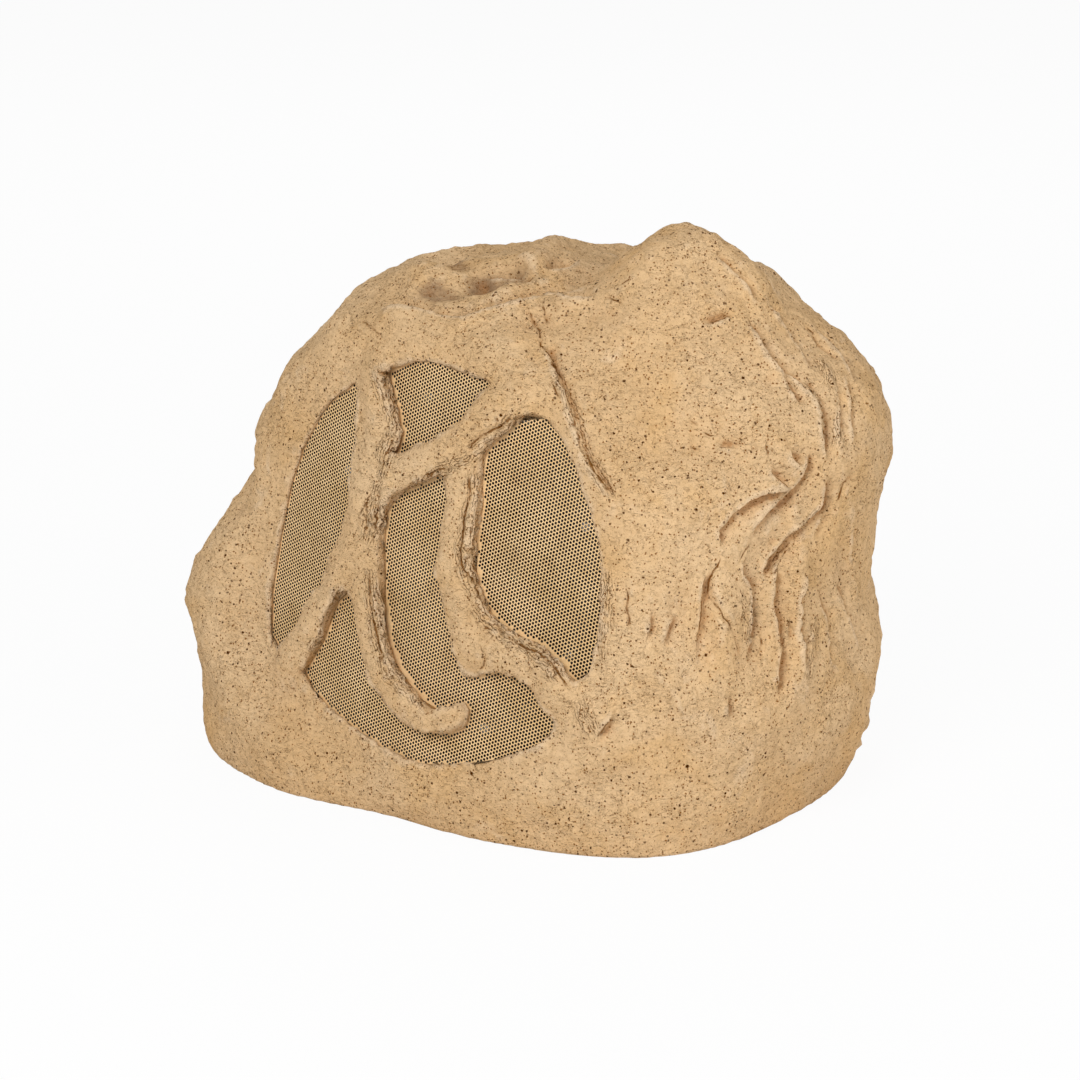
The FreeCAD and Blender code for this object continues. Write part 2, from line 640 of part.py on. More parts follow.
seal_body = turned("woofer_gasket", [
    ("cutout_radius + 0.5", "0"), ("woofer_radius", "0"), ("woofer_radius", "woofer_seal"),
    ("cutout_radius + 0.5", "woofer_seal")], driver_place)
drilled(seal_body, "seal_holes", "screw_radius + 0.2", "screw_circle", 8, 22.5)

basket = turned("woofer_basket", [
    ("woofer_radius", "woofer_seal"),
    ("woofer_radius", "woofer_seal + basket_sheet"),
    ("cutout_radius - 3", "woofer_seal + basket_sheet"),
    ("cutout_radius - 7", "-14"),
    ("spider_radius", "-spider_depth"),
    ("spider_radius - 8", "-spider_depth"),
    ("spider_radius - 11", "2 - basket_depth"),
    ("coil_radius + 6.4", "2 - basket_depth"),
    ("coil_radius + 6.4", "-basket_depth"),
    ("spider_radius - 9.5", "-basket_depth"),
    ("spider_radius - 6.5", "-spider_depth - basket_sheet"),
    ("spider_radius + 1.2", "-spider_depth - basket_sheet"),
    ("cutout_radius - 5.2", "-15"),
    ("cutout_radius - 1.2", "woofer_seal")], driver_place)
drilled(basket, "basket_holes", "screw_radius + 0.2", "screw_circle", 8, 22.5)
drilled(basket, "basket_windows", "9", "spider_radius + 14", 6, 0.0)

turned("woofer_surround", [
    ("cutout_radius + 4", "woofer_seal + basket_sheet"), ("cutout_radius + 4", "woofer_seal + basket_sheet + 0.8"),
    ("cutout_radius - 2.6", "woofer_seal + basket_sheet + 0.8"),
    ("cutout_radius - 3.4", "woofer_seal + basket_sheet + 3.4"),
    ("cutout_radius - 5.6", "woofer_seal + basket_sheet + 5.4"),
    ("cutout_radius - 8.5", "woofer_seal + basket_sheet + 6.2"),
    ("cutout_radius - 11.4", "woofer_seal + basket_sheet + 5.4"),
    ("cutout_radius - 13.6", "woofer_seal + basket_sheet + 3.4"),
    ("cutout_radius - 14.4", "woofer_seal + basket_sheet + 0.8"),
    ("cone_radius - 5.5", "woofer_seal + basket_sheet + 0.8"), ("cone_radius - 5.5", "woofer_seal + basket_sheet"),
    ("cutout_radius - 13.6", "woofer_seal + basket_sheet"),
    ("cutout_radius - 12.9", "woofer_seal + basket_sheet + 3"),
    ("cutout_radius - 11", "woofer_seal + basket_sheet + 4.7"),
    ("cutout_radius - 8.5", "woofer_seal + basket_sheet + 5.4"),
    ("cutout_radius - 6", "woofer_seal + basket_sheet + 4.7"),
    ("cutout_radius - 4.1", "woofer_seal + basket_sheet + 3"),
    ("cutout_radius - 3.4", "woofer_seal + basket_sheet")], driver_place)

turned("woofer_cone", [
    ("coil_radius", "2 - spider_depth"), ("coil_radius + 1", "2 - spider_depth"),
    ("coil_radius + 1", "4 - spider_depth"), ("cone_radius - 6", "2.4"), ("cone_radius", "2.4"),
    ("cone_radius", "3.2"), ("cone_radius - 6.5", "3.2"), ("coil_radius + 0.6", "5.2 - spider_depth"),
    ("coil_radius", "5.2 - spider_depth")], driver_place)

turned("voice_coil", [
    ("coil_radius - 0.4", "-basket_depth - 12"), ("coil_radius", "-basket_depth - 12"),
    ("coil_radius", "-basket_depth - 8"), ("coil_radius + 0.7", "-basket_depth - 8"),
    ("coil_radius + 0.7", "2 - basket_depth"), ("coil_radius", "2 - basket_depth"),
    ("coil_radius", "8 - spider_depth"), ("coil_radius - 0.4", "8 - spider_depth")], driver_place)

spider_profile = []
spider_back = []
SPIDER_WAVES = [(0.4, 0.0), (4, 1.2), (8, -1.0), (12, 1.2), (16, -1.0), (20, 1.2), (24, -1.0), (28, 1.2)]
for out, lift in SPIDER_WAVES:
    spider_profile.append(("coil_radius + %g" % out, "0.8 - spider_depth + %g" % (lift - 0.4)))
    spider_back.append(("coil_radius + %g" % out, "-spider_depth + %g" % (lift - 0.4)))
spider_profile += [("spider_radius - 7", "0.8 - spider_depth"), ("spider_radius - 0.6", "0.8 - spider_depth")]
spider_back += [("spider_radius - 7.2", "-spider_depth"), ("spider_radius - 0.6", "-spider_depth")]
turned("woofer_spider", spider_profile + spider_back[::-1], driver_place)

turned("top_plate", [
    ("coil_radius + 0.7 + coil_gap", "-basket_depth"), ("plate_radius", "-basket_depth"),
    ("plate_radius", "-basket_depth - plate_thickness"),
    ("coil_radius + 0.7 + coil_gap", "-basket_depth - plate_thickness")], driver_place)
turned("woofer_magnet", [
    ("coil_radius + 6.4", "-basket_depth - plate_thickness"), ("magnet_radius", "-basket_depth - plate_thickness"),
    ("magnet_radius", "-basket_depth - plate_thickness - magnet_thickness"),
    ("coil_radius + 6.4", "-basket_depth - plate_thickness - magnet_thickness")], driver_place)
turned("yoke", [
    ("post_radius + hole_play", "-basket_depth"), ("coil_radius - 0.4 - coil_gap", "-basket_depth"),
    ("coil_radius - 0.4 - coil_gap", "-basket_depth - plate_thickness - magnet_thickness"),
    ("plate_radius", "-basket_depth - plate_thickness - magnet_thickness"),
    ("plate_radius", "-basket_depth - 2 * plate_thickness - magnet_thickness"),
    ("post_radius + hole_play", "-basket_depth - 2 * plate_thickness - magnet_thickness")], driver_place)

turned("tweeter_post", [
    ("0", "-basket_depth - 2 * plate_thickness - magnet_thickness - 3"),
    ("post_radius + 4", "-basket_depth - 2 * plate_thickness - magnet_thickness - 3"),
    ("post_radius + 4", "-basket_depth - 2 * plate_thickness - magnet_thickness"),
    ("post_radius", "-basket_depth - 2 * plate_thickness - magnet_thickness"),
    ("post_radius", "tweeter_lift - tweeter_depth - 4"),
    ("post_radius + 5", "tweeter_lift - tweeter_depth - 2"),
    ("post_radius + 5", "tweeter_lift - tweeter_depth"), ("0", "tweeter_lift - tweeter_depth")], driver_place)
turned("tweeter_housing", [
    ("0", "tweeter_lift - tweeter_depth"), ("tweeter_radius - 3", "tweeter_lift - tweeter_depth"),
    ("tweeter_radius", "tweeter_lift - tweeter_depth + 3"), ("tweeter_radius", "tweeter_lift - 1"),
    ("tweeter_radius - 1", "tweeter_lift"), ("tweeter_radius - 3", "tweeter_lift"),
    ("dome_radius + 3", "tweeter_lift - 3"), ("dome_radius + 2", "tweeter_lift - 6"), ("0", "tweeter_lift - 6")],
    driver_place)
turned("tweeter_dome", [
    ("dome_radius + 1.9", "tweeter_lift - 6"), ("dome_radius + 1.9", "tweeter_lift - 5.2"),
    ("dome_radius", "tweeter_lift - 5"), ("0.92 * dome_radius", "tweeter_lift - 3.2"),
    ("0.71 * dome_radius", "tweeter_lift - 1.5"), ("0.38 * dome_radius", "tweeter_lift - 0.4"),
    ("0", "tweeter_lift"), ("0", "tweeter_lift - 0.6"), ("0.37 * dome_radius", "tweeter_lift - 1"),
    ("0.68 * dome_radius", "tweeter_lift - 2.1"), ("0.87 * dome_radius", "tweeter_lift - 3.7"),
    ("0.95 * dome_radius", "tweeter_lift - 6")], driver_place)

# Base plate, its gasket and screws

recess_depth = size("recess_depth")
gasket_low = recess_depth - size("gasket_thickness")
plate_low = gasket_low - size("base_thickness")
plate_line = grown(foot, -size("rim_width") - size("base_gap"))
base_holes = pin(base_points, pilot_radius + 0.2, 0, 40)
base_gasket = prism(plate_line, gasket_low, recess_depth).cut([prism(flange_line, 0, 40)] + base_holes)
keep("base_gasket", base_gasket)

board_z = gasket_low + size("standoff_height")
board_corners = []
for sx in (-1, 1):
    for sy in (-1, 1):
        across = sx * (0.5 * size("board_length") - 6)
        along = size("board_back") + sy * (0.5 * size("board_width") - 6)
        board_corners.append(Vector(across, along, 0))
standoffs = pin(board_corners, 4, gasket_low - 0.5, board_z)
base_plate = prism(plate_line, plate_low, gasket_low).fuse(standoffs)
base_plate = base_plate.cut(base_holes + pin(board_corners, 1.5, plate_low + 1, board_z + 1))
keep("base_plate", base_plate.removeSplitter())
screws("base_screws", base_points, plate_low, size("base_thickness") + size("gasket_thickness") + 7, None, True)

# Crossover

board = doc.addObject("Part::Box", "crossover_blank")
board.setExpression("Length", bound("board_length"))
board.setExpression("Width", bound("board_width"))
board.setExpression("Height", bound("board_thickness"))
board.setExpression("Placement.Base.x", bound("-board_length / 2"))
board.setExpression("Placement.Base.y", bound("board_back - board_width / 2"))
board.setExpression("Placement.Base.z", bound("recess_depth - gasket_thickness + standoff_height"))
doc.recompute()
keep("crossover_board", board.Shape.cut(pin(board_corners, 1.6, board_z - 1, board_z + 5)))
deck = board_z + size("board_thickness")
small = []
for p in board_corners:
    one = Part.makeCylinder(1.45, 6.5, Vector(0, 0, -6.5)).fuse(Part.makeCylinder(2.8, 1.8)).removeSplitter()
    one.translate(Vector(p.x, p.y, deck))
    small.append(one)
keep("crossover_screws", Part.makeCompound(small))

coil_place = FreeCAD.Placement(Vector(-22, size("board_back") - 8, deck), FreeCAD.Rotation())
turned("crossover_inductor", [
    ("inductor_radius - 11", "0"), ("inductor_radius + 1", "0"), ("inductor_radius + 1", "1.5"),
    ("inductor_radius - 0.5", "1.5"), ("inductor_radius - 0.5", "inductor_height - 1.5"),
    ("inductor_radius + 1", "inductor_height - 1.5"), ("inductor_radius + 1", "inductor_height"),
    ("inductor_radius - 11", "inductor_height")], coil_place)

capacitors = []
for step in (0, 1):
    can = Part.makeCylinder(size("capacitor_radius"), size("capacitor_length"), Vector(8, 0, 0), Vector(1, 0, 0))
    can = can.makeChamfer(1.0, [e for e in can.Edges if e.Curve.TypeId == "Part::GeomCircle"])
    along = size("board_back") - 22 + step * (2 * size("capacitor_radius") + 3)
    can.translate(Vector(0, along, deck + size("capacitor_radius")))
    capacitors.append(can)
keep("crossover_capacitors", Part.makeCompound(capacitors))

resistor = doc.addObject("Part::Box", "crossover_resistor")
resistor.setExpression("Length", bound("resistor_length"))
resistor.setExpression("Width", bound("resistor_side"))
resistor.setExpression("Height", bound("resistor_side"))
resistor.setExpression("Placement.Base.x", bound("10"))
resistor.setExpression("Placement.Base.y", bound("board_back + 18"))
resistor.setExpression("Placement.Base.z", bound(
    "recess_depth - gasket_thickness + standoff_height + board_thickness"))
keep("crossover_resistor", resistor)

# Cable gland: turned in a frame whose z runs out of the rear wall

gland_turn = FreeCAD.Rotation(Vector(1, 0, 0), -90)
gland_place = FreeCAD.Placement(Vector(gland_axis.x, gland_face, gland_axis.z), gland_turn)
turned("gland_seal", [
    ("thread_radius + 0.3", "0"), ("thread_radius + 4.5", "0"), ("thread_radius + 4.5", "1.5"),
    ("thread_radius + 0.3", "1.5")], gland_place)


def hexagon(across_flats, low, high):
    reach = across_flats / math.sqrt(3)
    turns = [math.radians(60 * k) for k in range(7)]
    corners = [Vector(reach * math.cos(turn), reach * math.sin(turn), low) for turn in turns]
    return Part.Face(Part.makePolygon(corners)).extrude(Vector(0, 0, high - low))


def tube(radius, low, high):
    return Part.makeCylinder(radius, high - low, Vector(0, 0, low))


thread_radius = size("thread_radius")
gland_hex = size("gland_hex")
cable = tube(size("cable_radius"), -60, 60)
spigot = tube(thread_radius, -size("gland_wall") - 9, 14)
gland_body = spigot.fuse(hexagon(gland_hex, 1.5, 6.5)).cut(cable).removeSplitter()
keep("gland_body", placed(gland_body, gland_place))
cone = Part.makeCone(0.5 * gland_hex - 1.5, thread_radius - 1, 6, Vector(0, 0, 15))
cap = hexagon(gland_hex - 2, 7, 15).fuse(cone)
cap = cap.cut([tube(thread_radius + 0.05, 6, 14.2), cable]).removeSplitter()
keep("gland_nut", placed(cap, gland_place))
locknut = hexagon(gland_hex, -size("gland_wall") - 5, -size("gland_wall"))
locknut = locknut.cut(tube(thread_radius + 0.05, -60, 60))
keep("gland_locknut", placed(locknut, gland_place))

# Every piece is checked and written

doc.recompute()
os.makedirs("parts", exist_ok=True)
faults = []
for item in doc.Objects:
    if "Invalid" in item.State or "Error" in item.State:
        faults.append(item.Name + " " + ",".join(item.State))
for name, item in nodes.items():
    shape = item.Shape
    if shape.isNull() or not shape.isValid() or not shape.Solids or shape.Volume <= 0:
        faults.append(name + " shape")
    shape.exportStep("parts/%s.step" % name)
    print("%-22s solids %2d  volume %10.0f" % (name, len(shape.Solids), shape.Volume))
if faults:
    raise RuntimeError("; ".join(faults))
print("nodes", len(nodes))
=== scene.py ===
import bpy
import bmesh
import json
import math
import numpy as np
from mathutils import Matrix, Vector, noise
from mathutils.bvhtree import BVHTree
from mathutils.kdtree import KDTree

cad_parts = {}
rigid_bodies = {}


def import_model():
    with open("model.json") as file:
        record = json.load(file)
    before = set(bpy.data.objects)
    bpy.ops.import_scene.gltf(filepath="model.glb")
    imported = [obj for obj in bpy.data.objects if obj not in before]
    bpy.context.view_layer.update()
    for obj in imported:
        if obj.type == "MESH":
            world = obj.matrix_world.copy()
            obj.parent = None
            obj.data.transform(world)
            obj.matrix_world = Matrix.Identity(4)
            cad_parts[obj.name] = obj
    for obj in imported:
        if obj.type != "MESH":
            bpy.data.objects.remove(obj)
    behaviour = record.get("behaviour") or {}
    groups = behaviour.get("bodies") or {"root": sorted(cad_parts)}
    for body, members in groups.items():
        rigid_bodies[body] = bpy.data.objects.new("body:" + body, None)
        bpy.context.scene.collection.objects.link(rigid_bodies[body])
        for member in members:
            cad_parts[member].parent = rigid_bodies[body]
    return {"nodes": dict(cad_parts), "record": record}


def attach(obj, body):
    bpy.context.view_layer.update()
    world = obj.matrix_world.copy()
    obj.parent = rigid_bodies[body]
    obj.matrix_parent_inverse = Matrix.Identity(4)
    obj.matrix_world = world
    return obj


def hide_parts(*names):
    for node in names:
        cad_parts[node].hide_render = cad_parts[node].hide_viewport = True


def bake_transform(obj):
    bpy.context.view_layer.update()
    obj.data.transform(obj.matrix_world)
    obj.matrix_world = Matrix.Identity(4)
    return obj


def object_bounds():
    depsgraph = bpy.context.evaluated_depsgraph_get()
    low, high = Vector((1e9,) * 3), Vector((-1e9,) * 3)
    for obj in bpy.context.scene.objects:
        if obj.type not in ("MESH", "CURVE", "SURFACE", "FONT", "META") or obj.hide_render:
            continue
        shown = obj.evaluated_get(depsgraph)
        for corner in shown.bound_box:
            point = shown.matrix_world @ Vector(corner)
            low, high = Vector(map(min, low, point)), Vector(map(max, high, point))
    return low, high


# the noise that bends the strokes is seeded, so each run gives the same boulder
noiseSeed = 11
noise.seed_set(noiseSeed)
for leftover in list(bpy.data.objects):
    bpy.data.objects.remove(leftover)
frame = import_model()
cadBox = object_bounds()
nodes = frame["nodes"]
scene = bpy.context.scene
print("frame loaded with", len(nodes), "nodes")



def newPiece(name, data):
    piece = bpy.data.objects.new(name, data)
    scene.collection.objects.link(piece)
    return piece


def meshFrom(work, name):
    mesh = bpy.data.meshes.new(name)
    work.to_mesh(mesh)
    work.free()
    return mesh


# camera at the photograph's angle, for a square picture of 1080 pixels
cameraSet = {"turn": 40.0, "rise": 17.0, "distance": 2.6, "aim": (-0.0035, -0.0040, 0.1348), "lens": 139.8,
             "sensor": 36.0, "pixels": 1080}


def placeCamera():
    turn, rise = math.radians(cameraSet["turn"]), math.radians(cameraSet["rise"])
    away = Vector((math.sin(turn) * math.cos(rise), -math.cos(turn) * math.cos(rise), math.sin(rise)))
    data = bpy.data.cameras.new("studioCamera")
    data.lens = cameraSet["lens"]
    data.sensor_width = cameraSet["sensor"]
    camera = newPiece("studioCamera", data)
    camera.location = Vector(cameraSet["aim"]) + away * cameraSet["distance"]
    camera.rotation_euler = away.to_track_quat("Z", "Y").to_euler()
    scene.camera = camera
    return camera, away


camera, towardsCamera = placeCamera()
bpy.context.view_layer.update()


def sightLine(px, py):
    # from the camera through a pixel of the picture
    step = cameraSet["sensor"] / cameraSet["lens"] / cameraSet["pixels"]
    half = cameraSet["pixels"] / 2
    ray = Vector(((px - half) * step, (half - py) * step, -1.0))
    return camera.location.copy(), (camera.matrix_world.to_3x3() @ ray).normalized()


# sums of shader values, written as plain expressions
class Wire:
    def __init__(self, tree, socket):
        self.tree = tree
        self.socket = socket

    def maths(self, operation, first, second=0.0):
        made = self.tree.nodes.new("ShaderNodeMath")
        made.operation = operation
        for place, value in zip(made.inputs, (first, second)):
            if isinstance(value, Wire):
                self.tree.links.new(value.socket, place)
            else:
                place.default_value = value
        return Wire(self.tree, made.outputs[0])

    def __add__(self, other):
        return self.maths("ADD", self, other)

    def __radd__(self, other):
        return self.maths("ADD", other, self)

    def __sub__(self, other):
        return self.maths("SUBTRACT", self, other)

    def __rsub__(self, other):
        return self.maths("SUBTRACT", other, self)

    def __mul__(self, other):
        return self.maths("MULTIPLY", self, other)

    def __rmul__(self, other):
        return self.maths("MULTIPLY", other, self)

    def size(self):
        return self.maths("ABSOLUTE", self)

    def __gt__(self, other):
        return self.maths("GREATER_THAN", self, other)


# any node tree, with one way to make a node: its settings first, then its sockets
class Nodes:
    def __init__(self, tree):
        self.tree = tree
        self.tree.nodes.clear()

    def put(self, socket, value):
        if isinstance(value, Wire):
            self.tree.links.new(value.socket, socket)
        elif isinstance(value, tuple) and socket.type == "RGBA":
            socket.default_value = (*value, 1.0)
        else:
            socket.default_value = value

    def node(self, kind, settings=None, sockets=None, out=0):
        made = self.tree.nodes.new("ShaderNode" + kind)
        for key, value in (settings or {}).items():
            setattr(made, key, value)
        for key, value in (sockets or {}).items():
            self.put(made.inputs[key], value)
        return Wire(self.tree, made.outputs[out])


class Finish(Nodes):
    def __init__(self, name):
        self.material = bpy.data.materials.new(name)
        self.material.use_nodes = True
        super().__init__(self.material.node_tree)
        self.shader = self.tree.nodes.new("ShaderNodeBsdfPrincipled")
        self.output = self.tree.nodes.new("ShaderNodeOutputMaterial")
        self.tree.links.new(self.shader.outputs[0], self.output.inputs[0])
        self.place = self.node("TexCoord", out="Object")

    def stretched(self, scale, turn=(0.0, 0.0, 0.0)):
        return self.node("Mapping", None, {"Vector": self.place, "Scale": scale, "Rotation": turn})

    def cloud(self, scale, detail=3.0, rough=0.55, warp=0.0, place=None):
        return self.node("TexNoise", None, {"Vector": place or self.place, "Scale": scale, "Detail": detail,
                                            "Roughness": rough, "Distortion": warp})

    def crooked(self, scale, reach):
        # the same place, pushed about a little
        drift = self.node("TexNoise", None, {"Vector": self.place, "Scale": scale, "Detail": 1.0}, "Color")
        drift = self.node("VectorMath", {"operation": "SUBTRACT"}, {0: drift, 1: (0.5, 0.5, 0.5)})
        drift = self.node("VectorMath", {"operation": "SCALE"}, {0: drift, "Scale": reach})
        return self.node("VectorMath", {"operation": "ADD"}, {0: drift, 1: self.place})

    def cells(self, scale, out="Distance", place=None):
        return self.node("TexVoronoi", None, {"Vector": place or self.place, "Scale": scale}, out)

    def bands(self, direction, place, scale, wobble=0.0, detail=2.0):
        return self.node("TexWave", {"bands_direction": direction},
                         {"Vector": place, "Scale": scale, "Distortion": wobble, "Detail": detail}, "Fac")

    def fade(self, value, low, high, start=0.0, end=1.0):
        return self.node("MapRange", {"interpolation_type": "SMOOTHSTEP", "clamp": True},
                         {"Value": value, "From Min": low, "From Max": high,
                          "To Min": start, "To Max": end})

    def blend(self, share, first, second):
        return self.node("Mix", {"data_type": "RGBA"}, {0: share, 6: first, 7: second}, 2)

    def tint(self, colour, value, low, high, share, other):
        # the other colour creeps in as the value goes from low to high
        return self.blend(self.fade(value, low, high, 0.0, share), colour, other)

    def red(self, colour):
        return self.node("SeparateColor", None, {"Color": colour}, "Red")

    def attribute(self, name):
        return self.node("Attribute", {"attribute_name": name}, None, "Fac")

    def relief(self, height, distance, strength=1.0):
        bump = self.node("Bump", None, {"Height": height, "Distance": distance, "Strength": strength})
        self.put(self.shader.inputs["Normal"], bump)

    def finish(self, sockets):
        for key, value in sockets.items():
            self.put(self.shader.inputs[key], value)
        return self.material


# the leaning, bowed face that carries the sheet
faceSet = {"middle": (0.0134783, -0.135025, 0.1545), "lean": 12.0, "bow": 0.6}


def faceFrame():
    lean = math.radians(faceSet["lean"])
    across = Vector((1.0, 0.0, 0.0))
    upward = Vector((0.0, math.sin(lean), math.cos(lean)))
    place = Matrix((across, upward, across.cross(upward))).transposed().to_4x4()
    place.translation = Vector(faceSet["middle"])
    return place


# the boulder: the imported shell made into an even mesh, worked by strokes and then thinned
# lengths in metres, then the triangles to keep and the rounds of softening
rockSet = {"voxel": 0.0017, "wander": 0.0013, "sideReach": 0.008, "lineReach": 0.0024, "rimRise": 0.012,
           "swellHeight": 0.0016, "grainHeight": 0.0008, "roughHeight": 0.0014, "brokenHeight": 0.0042,
           "foldHeight": 0.0020, "layerGap": 0.0034, "layerHeight": 0.0006, "layerDrift": 0.004,
           "splitGap": 0.0038, "splitHeight": 0.0009, "triangles": 192000, "softenRounds": 3}
# noise on the stone, in cycles per metre
rockNoise = {"swell": 28.0, "grain": 120.0, "rough": 330.0, "vary": 42.0, "broken": 26.0, "folded": 42.0,
             "wander": 80.0, "wanderFine": 260.0, "drift": 13.0, "patch": 17.0, "lacunarity": 2.1}
# strata on the sides away from the camera: slope is the way up through them
strataSet = {"gap": 0.036, "height": 0.0055, "slope": (0.45, 0.1, 1.0), "drift": 0.03, "fall": 0.12,
             "level": 0.4}
# where the crown and the right flank begin, how soon they are full, and the share of relief on each zone
zoneSet = {"crownFoot": 0.265, "crownRise": 0.04, "crownShare": 0.5, "flankFoot": 0.12, "flankRise": 0.05,
           "flankShare": 0.8, "leastShare": 0.06}
# the stretch of the front in which walls between the windows are split into layers
wallSet = {"reach": 0.15, "depth": 0.03, "facing": 0.6}
# how a stroke's section is drawn, as shares of its depth and width
strokeSet = {"millimetre": 0.001, "fadeLength": 0.01, "fadeShare": 0.4, "lip": 0.3, "lipWidth": 2.6,
             "edge": 0.35, "proud": 0.8, "proudWidth": 3.0, "fall": 1.4, "fallWidth": 2.2,
             "ledgeGain": 1.25}
# how the outside is told from the cavity: the boulder's axis, and steps off the skin
maskSet = {"axisLow": 0.05, "axisHigh": 0.2, "lift": 0.0004, "step": 0.0006, "wallFront": -0.1,
           "wallReach": 0.05, "wallTurn": -0.2}
